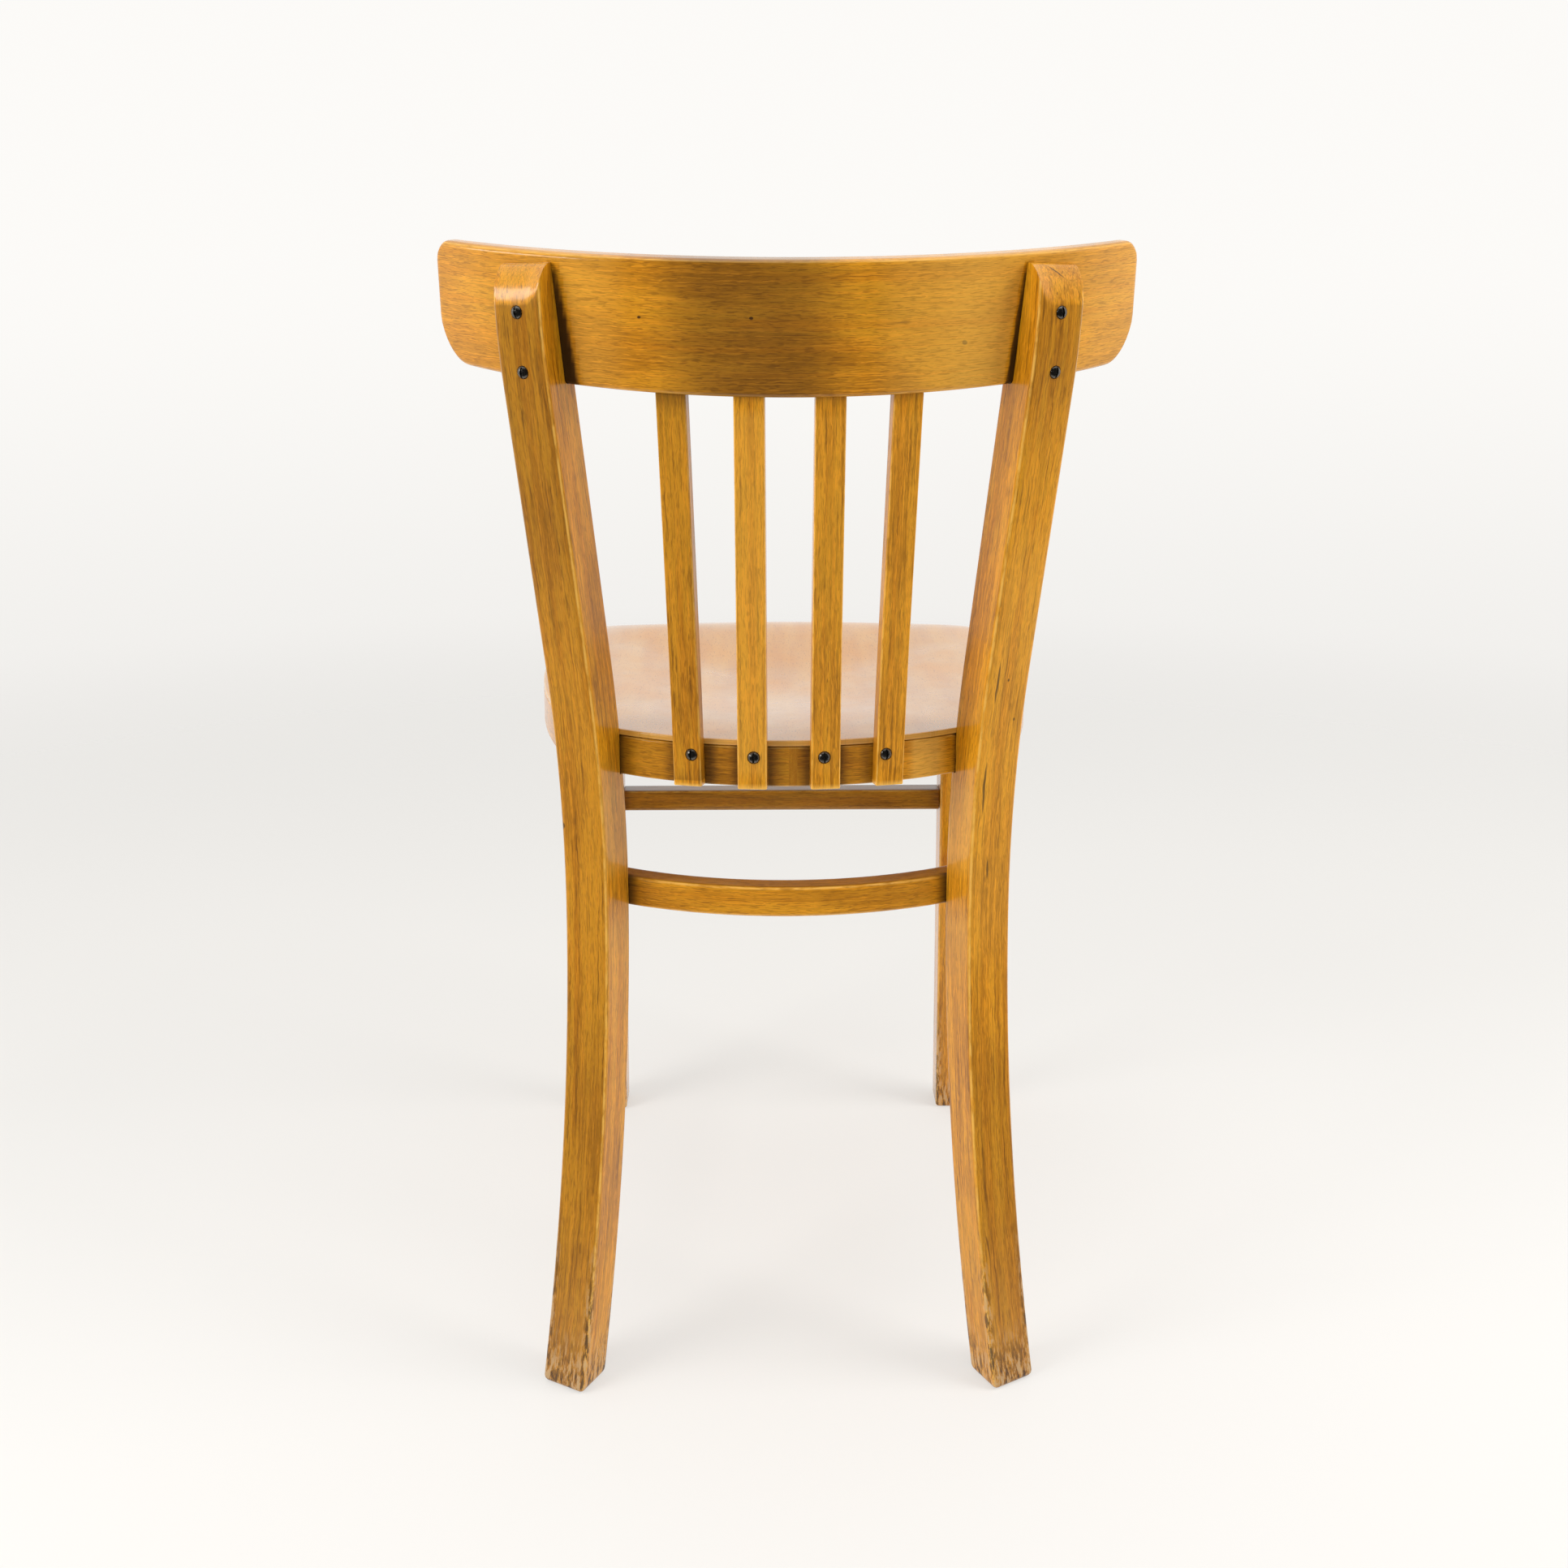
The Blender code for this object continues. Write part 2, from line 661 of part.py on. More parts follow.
ring_top = SEAT_TOP - PANEL_THICKNESS - GAP
seat_ring = flat_plate("seat_ring", (seat_outline(-RING_EDGE), seat_outline(RING_EDGE - RING_WIDTH)),
                       RING_BOTTOM, ring_top, RING_EDGE, pieces)
finish(seat_ring, BEECH)
seat_panel = make_panel("seat_panel")

seat_housing = flat_plate("seat_housing", (seat_outline(GAP),), RING_BOTTOM - GAP, SEAT_TOP + 0.001, 0.0,
                          cutters)
ring_seat = flat_plate("ring_seat", (seat_outline(0.05), seat_outline(-RING_WIDTH - GAP)), RING_BOTTOM - GAP,
                       SEAT_TOP, 0.0, cutters)
for post in posts.values():
    cut(post, rail_housing)
    cut(post, seat_housing)
for leg in legs.values():
    cut(leg, ring_seat)

rear_stretcher = make_rear_stretcher("rear_stretcher", pieces)
finish(rear_stretcher, BEECH)
stretcher_housing = make_rear_stretcher("rear_stretcher_housing", cutters, GAP)
for post in posts.values():
    cut(post, stretcher_housing)

front_middle = sum(FRONT_STRETCHER_Z) / 2.0
bar_inset = 1.0 - (2.0 * FRONT_STRETCHER_SETBACK + FRONT_STRETCHER_DEPTH) / LEG_TOP_SIZE
leg_inner_face = Vector((1.0, 0.0, (LEG_FOOT_INNER_X - LEG_TOP_INNER_X) / RING_BOTTOM)).normalized()
mirrored = Vector((-1.0, 1.0, 1.0))
front_stretcher, front_mortise = straight_stretcher(
    "front_stretcher", leg_point(-1, front_middle, -1.0, bar_inset),
    leg_point(1, front_middle, -1.0, bar_inset), FRONT_STRETCHER_DEPTH,
    FRONT_STRETCHER_Z[1] - FRONT_STRETCHER_Z[0], leg_inner_face * mirrored, leg_inner_face)
for leg in legs.values():
    cut(leg, front_mortise)

side_middle = sum(SIDE_STRETCHER_Z) / 2.0
leg_rear_face = Vector((0.0, 1.0, (LEG_FOOT_REAR_Y - LEG_TOP_REAR_Y) / RING_BOTTOM)).normalized()
for side, word in ((1, "left"), (-1, "right")):
    stretcher, mortise = straight_stretcher(
        "side_stretcher_" + word, post_point(side, side_middle, 0.15, -1.0),
        leg_point(side, side_middle, 0.0, 1.0), SIDE_STRETCHER_WIDTH,
        SIDE_STRETCHER_Z[1] - SIDE_STRETCHER_Z[0], post_normal(side, side_middle), leg_rear_face)
    cut(posts[side], mortise)
    cut(legs[side], mortise)

slats = []
for number, (side, pair) in enumerate(((1, 0), (1, 1), (-1, 1), (-1, 0)), start=1):
    slat = make_slat(f"back_slat_{number}", side, SLAT_FOOT_X[pair], SLAT_TOP_X[pair], pieces)
    finish(slat, BEECH)
    cut(slat, seat_housing)
    housing = make_slat(f"back_slat_{number}_housing", side, SLAT_FOOT_X[pair], SLAT_TOP_X[pair], cutters,
                        GAP)
    cut(top_rail, housing)
    slats.append((slat, side, SLAT_FOOT_X[pair]))

screw_lengths = {RAIL_SCREW_LENGTH, SLAT_SCREW_LENGTH, RING_SCREW_LENGTH, LEG_SCREW_LENGTH,
                 STRETCHER_SCREW_LENGTH}
screw_meshes = {}
hole_meshes = {}
for length in sorted(screw_lengths):
    millimetres = round(length * 1000)
    screw_meshes[length] = screw_mesh(f"screw_{millimetres}", length)
    hole_meshes[length] = screw_mesh(f"hole_{millimetres}", length, GAP)

for side, word in ((1, "left"), (-1, "right")):
    for height, place_word, turn in zip(RAIL_SCREW_Z, ("upper", "lower"), (0.1, -0.1)):
        point = post_point(side, height, 0.0, 1.0)
        drive_screw(f"rail_screw_{word}_{place_word}", RAIL_SCREW_LENGTH, point, post_normal(side, height),
                    turn, (posts[side], top_rail))

for number, (slat, side, foot_x) in enumerate(slats, start=1):
    surface, surface_out = ring_surface(foot_x, SLAT_THICKNESS + GAP)
    point = Vector((side * surface.x, surface.y, SLAT_SCREW_Z))
    normal = Vector((side * surface_out.x, surface_out.y, 0.0))
    drive_screw(f"slat_screw_{number}", SLAT_SCREW_LENGTH, point, normal, 0.0, (slat, seat_ring))

for side, word in ((1, "left"), (-1, "right")):
    for height, place_word in zip(RING_SCREW_Z, ("upper", "lower")):
        target = post_point(side, height, 0.0, -1.0)
        inner, inner_out = ring_surface(abs(target.x) - RING_WIDTH * math.sin(POST_TURN), -RING_WIDTH)
        point = Vector((side * inner.x, inner.y, height))
        normal = Vector((-side * inner_out.x, -inner_out.y, 0.0))
        drive_screw(f"ring_screw_{word}_{place_word}", RING_SCREW_LENGTH, point, normal, 0.4,
                    (posts[side], seat_ring))
    point = leg_point(side, LEG_SCREW_Z[0], -1.0, 0.1)
    drive_screw(f"leg_screw_{word}_side", LEG_SCREW_LENGTH, point, Vector((-side, 0.0, 0.0)), 0.3,
                (legs[side], seat_ring))
    point = leg_point(side, LEG_SCREW_Z[1], -0.15, 1.0)
    drive_screw(f"leg_screw_{word}_front", LEG_SCREW_LENGTH, point, Vector((0.0, 1.0, 0.0)), 0.8,
                (legs[side], seat_ring))
    lap = post_point(side, sum(REAR_STRETCHER_Z) / 2.0, 0.0, -1.0)
    front_radius = REAR_STRETCHER_RADIUS - REAR_STRETCHER_DEPTH
    angle = math.asin(abs(lap.x) / REAR_STRETCHER_RADIUS)
    point = Vector((side * front_radius * math.sin(angle),
                    REAR_STRETCHER_Y - REAR_STRETCHER_RADIUS + front_radius * math.cos(angle), lap.z))
    normal = Vector((-side * math.sin(angle), -math.cos(angle), 0.0))
    drive_screw(f"stretcher_screw_{word}", STRETCHER_SCREW_LENGTH, point, normal, 0.2,
                (posts[side], rear_stretcher))
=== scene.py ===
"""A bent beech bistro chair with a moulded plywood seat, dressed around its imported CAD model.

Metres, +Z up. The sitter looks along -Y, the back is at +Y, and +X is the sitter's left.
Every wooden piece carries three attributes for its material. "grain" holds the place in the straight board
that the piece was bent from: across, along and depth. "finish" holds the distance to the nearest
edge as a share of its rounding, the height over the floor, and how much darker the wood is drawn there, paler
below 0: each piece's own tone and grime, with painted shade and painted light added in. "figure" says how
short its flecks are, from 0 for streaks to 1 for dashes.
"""

import math
from collections import namedtuple
from functools import partial

import bmesh
import bpy
from mathutils import Matrix, Vector


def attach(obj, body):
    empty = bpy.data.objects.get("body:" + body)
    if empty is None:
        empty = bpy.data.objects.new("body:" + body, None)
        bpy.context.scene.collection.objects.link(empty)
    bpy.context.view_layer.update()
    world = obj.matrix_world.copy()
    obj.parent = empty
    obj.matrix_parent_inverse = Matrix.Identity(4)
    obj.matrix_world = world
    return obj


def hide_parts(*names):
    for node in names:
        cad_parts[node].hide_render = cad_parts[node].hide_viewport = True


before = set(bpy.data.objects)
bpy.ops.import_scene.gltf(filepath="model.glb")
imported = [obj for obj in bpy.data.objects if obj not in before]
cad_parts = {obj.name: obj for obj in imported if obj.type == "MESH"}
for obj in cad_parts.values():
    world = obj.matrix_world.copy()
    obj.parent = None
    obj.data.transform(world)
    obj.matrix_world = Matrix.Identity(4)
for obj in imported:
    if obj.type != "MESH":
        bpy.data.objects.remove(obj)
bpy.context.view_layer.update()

bl_info = {
    "name": "Beech bistro chair",
    "version": (1, 0, 0),
    "blender": (4, 5, 0),
    "location": "View3D > Sidebar > Bistro chair",
    "description": "Builds a bent beech bistro chair with a moulded plywood seat",
    "category": "Object",
}

# Clearance left between two pieces that fit into each other
GAP = 0.0003
WELD_DISTANCE = 0.000002
SMOOTH_ANGLE = math.radians(32.0)
CORNER_STEPS = 4
SIDES = ((1, "left"), (-1, "right"))

# The back line: where the posts stand straight
BACK_LINE_X = 0.1330
BACK_LINE_Y = 0.1410
POST_TURN = math.radians(29.0)

# Rear posts
POST_TOP = 0.772
POST_WIDTH = 0.0350
POST_DEPTH = 0.0294
POST_FOOT_SCALE = 0.97
POST_CREST_SCALE = 1.03
POST_BEND_HEIGHT = 0.335
LEG_BEND_RADIUS = 1.24
LEG_BEND_TURN = math.radians(24.0)
BACK_BEND_RADIUS = 0.90
BACK_LEAN = math.radians(10.9)
POST_CREST_START = 0.700
POST_CREST_RADIUS = 0.35
POST_NOSE_HEIGHT = 0.0265
POST_NOSE_SHARE = 0.42
POST_NOSE_SLOPE = 0.22
POST_NOSE_LATE = 0.42
POST_NOSE_CORNER = 0.0110
POST_NOSE_STEPS = 14
POST_FOOT_ROUNDING = 0.0045

# Top rail
RAIL_RADIUS = 0.3332
RAIL_LEAN = math.radians(10.6)
RAIL_BACK_Y = BACK_LINE_Y + 0.0901
RAIL_MIDDLE_Z = 0.7303
RAIL_HEIGHT = 0.0843
RAIL_THICKNESS = 0.018
RAIL_END_THICKNESS = 0.013
RAIL_HALF_LENGTH = 0.2545
RAIL_END_TAPER = 0.0055
RAIL_TOP_CORNER = (0.011, 0.022)
RAIL_LOWER_CORNER = (0.026, 0.045)
RAIL_END_LENGTH = 0.034
RAIL_END_STEPS = 14
RAIL_STEPS = 190

# Seat ring and seat panel: each arc of the seat's edge has a radius and a turn, the straight run a length
SEAT_REAR_Y = BACK_LINE_Y + 0.0375
SEAT_ARCS = (
    (0.2176, 34.0),
    (0.1150, 38.0),
    (0.5400, 18.0),
    (None, 0.0960),
    (0.0500, 84.0),
)
SEAT_FRONT_TURN = 6.0
SEAT_TOP = 0.4608
PANEL_THICKNESS = 0.0042
PANEL_DISH = 0.010
PANEL_CROWN = 0.011
PANEL_RIM = 0.86
PANEL_RINGS = 34
PANEL_LAST_RING = 0.985
PANEL_MIDDLE_SHIFT = 0.010
PANEL_SPACING = 0.005
PANEL_RIM_STEPS = 4
RING_WIDTH = 0.0215
RING_BOTTOM = 0.4290
RING_SPACING = 0.006
RING_TOP = SEAT_TOP - PANEL_THICKNESS - GAP

# Back slats: the side and pair of each, from the sitter's left, and how dark or pale (below 0) it is
SLATS = ((1, 0), (1, 1), (-1, 1), (-1, 0))
SLAT_TONES = (0.28, -0.28, -0.16, -0.16)
SLAT_WIDTH = 0.0196
SLAT_THICKNESS = 0.0090
SLAT_FOOT_X = (0.0648, 0.0234)
SLAT_TOP_X = (0.0735, 0.0252)
SLAT_FOOT_Z = RING_BOTTOM + 0.0006
SLAT_HOUSING = 0.013
SLAT_STRAIGHT_TO = 0.458
SLAT_BEND_LENGTH = 0.060
SLAT_SETBACK = 0.0050
SLAT_STEPS = 60
SLAT_END_BEVEL = 0.0008

# Front legs
LEG_TOP_SIZE = 0.0340
LEG_FOOT_SIZE = 0.0310
LEG_TOP_INNER_X = 0.1443
LEG_FOOT_INNER_X = 0.1466
LEG_TOP_REAR_Y = BACK_LINE_Y - 0.3300
LEG_FOOT_REAR_Y = BACK_LINE_Y - 0.3452
LEG_TOP = SEAT_TOP - PANEL_THICKNESS - 0.0030
LEG_FOOT_ROUNDING = 0.0028

# Stretchers
REAR_STRETCHER_RADIUS = 0.2617
REAR_STRETCHER_Y = BACK_LINE_Y + 0.0212
REAR_STRETCHER_Z = (0.3314, 0.3527)
REAR_STRETCHER_DEPTH = 0.018
REAR_STRETCHER_END_X = 0.1400
REAR_STRETCHER_ENDS = 0.0015
FRONT_STRETCHER_Z = (0.2939, 0.3127)
FRONT_STRETCHER_DEPTH = 0.020
FRONT_STRETCHER_SETBACK = 0.007
SIDE_STRETCHER_Z = (0.2350, 0.2570)
SIDE_STRETCHER_WIDTH = 0.018
TENON_LENGTH = 0.016
TENON_WIDTH = 0.010
TENON_SHOULDER = 0.004
TENON_EDGE = 0.0006

# Screws
HEAD_HEIGHT = 0.0030
SHANK_RADIUS = 0.0020
SCREW_POINT = 0.006
SCREW_SEGMENTS = 32
THREAD_START = 0.010
THREAD_PITCH = 0.0014
THREAD_ROOT = 0.72
HEAD_SINK = 0.0006
RAIL_SCREW_Z = (0.7414, 0.7044)
RAIL_SCREW_LENGTH = 0.032
SLAT_SCREW_Z = 0.4515
SLAT_SCREW_LENGTH = 0.022
RING_SCREW_Z = (0.4495, 0.4365)
RING_SCREW_LENGTH = 0.038
LEG_SCREW_Z = (0.4475, 0.4365)
LEG_SCREW_LENGTH = 0.036
STRETCHER_SCREW_LENGTH = 0.032

# Joints that show on the posts' inner faces: the height of the middle, and half the height
POST_JOINTS = ((0.444, 0.016), (0.342, 0.011))

# The camera's place, tilt and turn in degrees, and shift, and the point that the lamps aim at
CAMERA_PLACE = (0.0178, 1.2001, 0.7337)
CAMERA_TILT = 8.99
CAMERA_TURN = 0.82
CAMERA_SHIFT = -0.133
LAMP_AIM = (0.0, 0.0, 0.45)

# Single knots, holes, long flecks, a crack and a dent: middle and half sizes in their board, and turn
MARKS = (
    ((1.1173, 1.8537, 0.690), (0.0011, 0.0014, 0.003), 0.0),
    ((1.1160, 1.9239, 0.690), (0.0010, 0.0012, 0.003), 0.0),
    ((1.0990, 1.7200, 0.690), (0.0014, 0.0019, 0.003), 0.0),
    ((0.7400, 1.7190, 0.475), (0.0010, 0.0012, 0.004), 0.0),
    ((0.7490, 1.6900, 0.475), (0.0010, 0.0012, 0.004), 0.0),
    ((0.7310, 1.7180, 0.475), (0.0010, 0.0140, 0.004), 0.0),
    ((0.7295, 1.6425, 0.475), (0.0010, 0.0185, 0.004), 0.0),
    ((0.7365, 1.5830, 0.475), (0.0009, 0.0070, 0.004), 0.0),
    ((0.7395, 1.9860, 0.462), (0.0005, 0.0068, 0.020), 0.94),
    ((0.3865, 1.0030, 0.2445), (0.0022, 0.0028, 0.004), 0.0),
)


# Shapes made point by point

def link(name, data):
    """Put a mesh, a lamp or a camera into the scene as an object."""
    obj = bpy.data.objects.new(name, data)
    bpy.context.scene.collection.objects.link(obj)
    return obj


def discard(obj):
    """Throw a helper object and its mesh away."""
    mesh = obj.data
    bpy.data.objects.remove(obj, do_unlink=True)
    bpy.data.meshes.remove(mesh)


def apply_modifiers(obj):
    """Turn an object and its modifiers into a plain mesh."""
    bpy.context.view_layer.update()
    evaluated = obj.evaluated_get(bpy.context.evaluated_depsgraph_get())
    mesh = bpy.data.meshes.new_from_object(evaluated)
    old = obj.data
    obj.modifiers.clear()
    obj.data = mesh
    mesh.name = obj.name
    bpy.data.meshes.remove(old)


def loft(name, rings, endless=False, flat_ends=False):
    """Join rings of points, one after another, and close both ends unless they run round."""
    bm = bmesh.new()
    rows = [[bm.verts.new(point) for point in ring] for ring in rings]
    count = len(rings[0])
    for row, follower in zip(rows, rows[1:] + rows[:1] if endless else rows[1:]):
        for i in range(count):
            j = (i + 1) % count
            bm.faces.new((row[i], row[j], follower[j], follower[i]))
    for row in () if endless else (rows[0], rows[-1]):
        if flat_ends:
            bm.faces.new(row)
            continue
        hub = bm.verts.new(sum((vertex.co for vertex in row), Vector()) / count)
        for i in range(count):
            bm.faces.new((row[i], row[(i + 1) % count], hub))
    bmesh.ops.remove_doubles(bm, verts=bm.verts, dist=WELD_DISTANCE)
    bm.normal_update()
    bmesh.ops.recalc_face_normals(bm, faces=bm.faces)
    mesh = bpy.data.meshes.new(name)
    bm.to_mesh(mesh)
    bm.free()
    return link(name, mesh)


def section(low_a, high_a, low_b, high_b, radius, flats=5):
    """Points round a rectangle with rounded corners."""
    radius = min(radius, (high_a - low_a) * 0.45, (high_b - low_b) * 0.45)
    corners = (
        (high_a - radius, high_b - radius),
        (low_a + radius, high_b - radius),
        (low_a + radius, low_b + radius),
        (high_a - radius, low_b + radius),
    )
    arcs = []
    for quarter, (a, b) in enumerate(corners):
        angles = [math.radians(90.0 * quarter + 90.0 * i / CORNER_STEPS) for i in range(CORNER_STEPS + 1)]
        arcs.append([(a + radius * math.cos(t), b + radius * math.sin(t)) for t in angles])
    points = []
    for arc, follower in zip(arcs, arcs[1:] + arcs[:1]):
        points += arc
        (a, b), (c, d) = arc[-1], follower[0]
        points += [(a + (c - a) * i / flats, b + (d - b) * i / flats) for i in range(1, flats)]
    return points


def rounded_run(start, end, edge, spacing, steps=4):
    """Places along a piece, each with how far its rounded ends draw in there."""
    angles = [math.pi / 2.0 * i / steps for i in range(steps)]
    ends = [(edge * (1.0 - math.cos(t)), edge * (1.0 - math.sin(t))) for t in angles]
    straight = end - start - 2.0 * edge
    count = max(2, round(straight / spacing))
    middle = [(start + edge + straight * i / count, 0.0) for i in range(count + 1)]
    first = [(start + step, inset) for step, inset in ends]
    last = [(end - step, inset) for step, inset in reversed(ends)]
    return first + middle + last


def clamp(value):
    """A value kept between 0 and 1."""
    return min(1.0, max(0.0, value))


def drawn_in(share):
    """How far a quarter round has drawn in, at a share of its length from its end."""
    return 1.0 - math.sqrt(1.0 - (1.0 - clamp(share)) ** 2)


def carve(obj, cutters):
    """Cut shapes out of a piece and throw the shapes away."""
    for cutter in cutters:
        boolean = obj.modifiers.new("Cut " + cutter.name, "BOOLEAN")
        boolean.operation = "DIFFERENCE"
        boolean.object = cutter
    apply_modifiers(obj)
    for cutter in cutters:
        discard(cutter)


def dress(obj, material, nodes, slot, grain=None, rounding=0.001, figure=0.0, board=0, dark=None):
    """Shade a piece, give it its attributes and material, parent it to the root body, and hide its CAD parts.
    """
    obj.data.polygons.foreach_set("use_smooth", [True] * len(obj.data.polygons))
    obj.data.set_sharp_from_angle(angle=SMOOTH_ANGLE)
    weighted = obj.modifiers.new("Weighted normals", "WEIGHTED_NORMAL")
    weighted.keep_sharp = True
    weighted.weight = 60
    apply_modifiers(obj)
    mesh = obj.data
    if grain:
        places = []
        finish = []
        for vertex in mesh.vertices:
            across, along, depth, edge = grain(vertex.co)
            places += (across + 0.37 * board, along + 0.61 * board, depth + 0.23 * board)
            # The third value is the piece's own tone and grime, with painted shade and painted light added in
            finish += (edge / rounding, vertex.co.z, dark(vertex.co) if dark else 0.0)
        mesh.attributes.new("grain", "FLOAT_VECTOR", "POINT").data.foreach_set("vector", places)
        mesh.attributes.new("finish", "FLOAT_VECTOR", "POINT").data.foreach_set("vector", finish)
        figures = [figure] * len(mesh.vertices)
        mesh.attributes.new("figure", "FLOAT", "POINT").data.foreach_set("value", figures)
    mesh.materials.clear()
    mesh.materials.append(material)
    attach(obj, "root")
    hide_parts(*nodes)


def dress_beech(obj, node, *finish):
    """Dress a piece of beech: its grain, edge rounding, figure, board and, if given, what darkens it."""
    dress(obj, make_beech(), [node], "beech", *finish)


def edge_distance(*insets):
    """Distance to the nearest edge, from the distances to the faces that could meet in it."""
    return max(0.0, sorted(insets)[1])


def shade_and_grime_falloff(distance, reach):
    """A share that falls from 1 at a corner down to 0 at a distance, for painted shade, grime and tone
    changes.
    """
    share = clamp(distance / reach)
    return 1.0 - share * share * (3.0 - 2.0 * share)


def darken(tone, grime_and_shade):
    """A tone with a share of grime and painted shade laid over it."""
    return tone * (1.0 - grime_and_shade) + grime_and_shade


# Geometry Nodes

def set_inputs(tree, node, inputs):
    """Give a node's inputs their values or links."""
    for key, value in inputs.items():
        if isinstance(value, bpy.types.NodeSocket):
            tree.links.new(value, node.inputs[key])
        else:
            node.inputs[key].default_value = value


def add_node(tree, kind, inputs=None, **settings):
    """Add a node, set it up, and give its inputs their values or links."""
    node = tree.nodes.new(kind)
    for name, value in settings.items():
        setattr(node, name, value)
    set_inputs(tree, node, inputs or {})
    return node


def new_geometry_tree(name, **sockets):
    """A geometry tree with named inputs, given with their kinds. Returns it and what its inputs give."""
    tree = bpy.data.node_groups.new(name, "GeometryNodeTree")
    tree.interface.new_socket(name="Geometry", in_out="INPUT", socket_type="NodeSocketGeometry")
    tree.interface.new_socket(name="Geometry", in_out="OUTPUT", socket_type="NodeSocketGeometry")
    for socket, kind in sockets.items():
        tree.interface.new_socket(name=socket.replace("_", " "), in_out="INPUT",
                                  socket_type="NodeSocket" + kind)
    return tree, tree.nodes.new("NodeGroupInput").outputs


def end_tree(tree, geometry, material):
    """Realize the instances, set the material and send the result out."""
    real = add_node(tree, "GeometryNodeRealizeInstances", {0: geometry})
    painted = add_node(tree, "GeometryNodeSetMaterial", {"Geometry": real.outputs[0], "Material": material})
    add_node(tree, "NodeGroupOutput", {0: painted.outputs[0]})


def swept_bar_tree():
    """The tree that sweeps a rounded section along a path, turned to face the way the path says."""
    name = "Bar swept along a path"
    if name in bpy.data.node_groups:
        return bpy.data.node_groups[name]
    tree, given = new_geometry_tree(name, Thickness="Float", Breadth="Float", Edge_radius="Float",
                                    Edge_steps="Int", Face_cuts="Int", Material="Material")
    path = add_node(tree, "GeometryNodeMeshToCurve", {"Mesh": given["Geometry"]})
    facing = add_node(tree, "GeometryNodeInputNamedAttribute", {"Name": "facing"}, data_type="FLOAT_VECTOR")
    turned = add_node(tree, "GeometryNodeSetCurveNormal",
                      {"Curve": path.outputs[0], "Normal": facing.outputs["Attribute"]}, mode="FREE")
    outline = add_node(tree, "GeometryNodeCurvePrimitiveQuadrilateral",
                       {"Width": given["Thickness"], "Height": given["Breadth"]})
    rounded = add_node(tree, "GeometryNodeFilletCurve",
                       {"Curve": outline.outputs[0], "Count": given["Edge steps"],
                        "Radius": given["Edge radius"]}, mode="POLY")
    divided = add_node(tree, "GeometryNodeSubdivideCurve",
                       {"Curve": rounded.outputs[0], "Cuts": given["Face cuts"]})
    swept = add_node(tree, "GeometryNodeCurveToMesh",
                     {"Curve": turned.outputs[0], "Profile Curve": divided.outputs[0], "Fill Caps": True})
    end_tree(tree, swept.outputs[0], given["Material"])
    return tree


def screw_tree():
    """The tree that drives a screw at every point, turned the way the point says."""
    name = "Screws on points"
    if name in bpy.data.node_groups:
        return bpy.data.node_groups[name]
    tree, given = new_geometry_tree(name, Screw="Object", Screw_size="Float", Material="Material")
    aim = add_node(tree, "GeometryNodeInputNamedAttribute", {"Name": "aim"}, data_type="FLOAT_VECTOR")
    shape = add_node(tree, "GeometryNodeObjectInfo", {"Object": given["Screw"]})
    turned = add_node(tree, "FunctionNodeEulerToRotation", {0: aim.outputs["Attribute"]})
    placed = add_node(tree, "GeometryNodeInstanceOnPoints",
                      {"Points": given["Geometry"], "Instance": shape.outputs["Geometry"],
                       "Rotation": turned.outputs[0], "Scale": given["Screw size"]})
    end_tree(tree, placed.outputs[0], given["Material"])
    return tree


def run_tree(name, tree, values, points, joins, directions):
    """Run a geometry tree with named values on points and joins, and keep the result as a plain mesh.

    The directions are the name of the points' vector attribute and its value for each of them.
    """
    mesh = bpy.data.meshes.new(name)
    mesh.from_pydata(points, joins, [])
    attribute = mesh.attributes.new(directions[0], "FLOAT_VECTOR", "POINT")
    for item, direction in zip(attribute.data, directions[1]):
        item.vector = direction
    obj = link(name, mesh)
    modifier = obj.modifiers.new(tree.name, "NODES")
    modifier.node_group = tree
    for item in tree.interface.items_tree:
        if item.in_out == "INPUT" and item.name in values:
            modifier[item.identifier] = values[item.name]
    apply_modifiers(obj)
    return obj


def sweep(name, points, facings, thickness, breadth, edge, endless=False):
    """Sweep a rounded section along points, with its thickness along the facing directions."""
    last = len(points) - 1
    joins = [(i, i + 1) for i in range(last)] + ([(last, 0)] if endless else [])
    values = {"Thickness": thickness, "Breadth": breadth, "Edge radius": edge, "Edge steps": 4,
              "Face cuts": 2, "Material": make_beech()}
    obj = run_tree(name, swept_bar_tree(), values, points, joins, ("facing", facings))
    bm = bmesh.new()
    bm.from_mesh(obj.data)
    bmesh.ops.recalc_face_normals(bm, faces=bm.faces)
    bm.to_mesh(obj.data)
    bm.free()
    return obj


# Materials

def rgba(colour):
    """A colour with full cover."""
    return (*colour, 1.0)


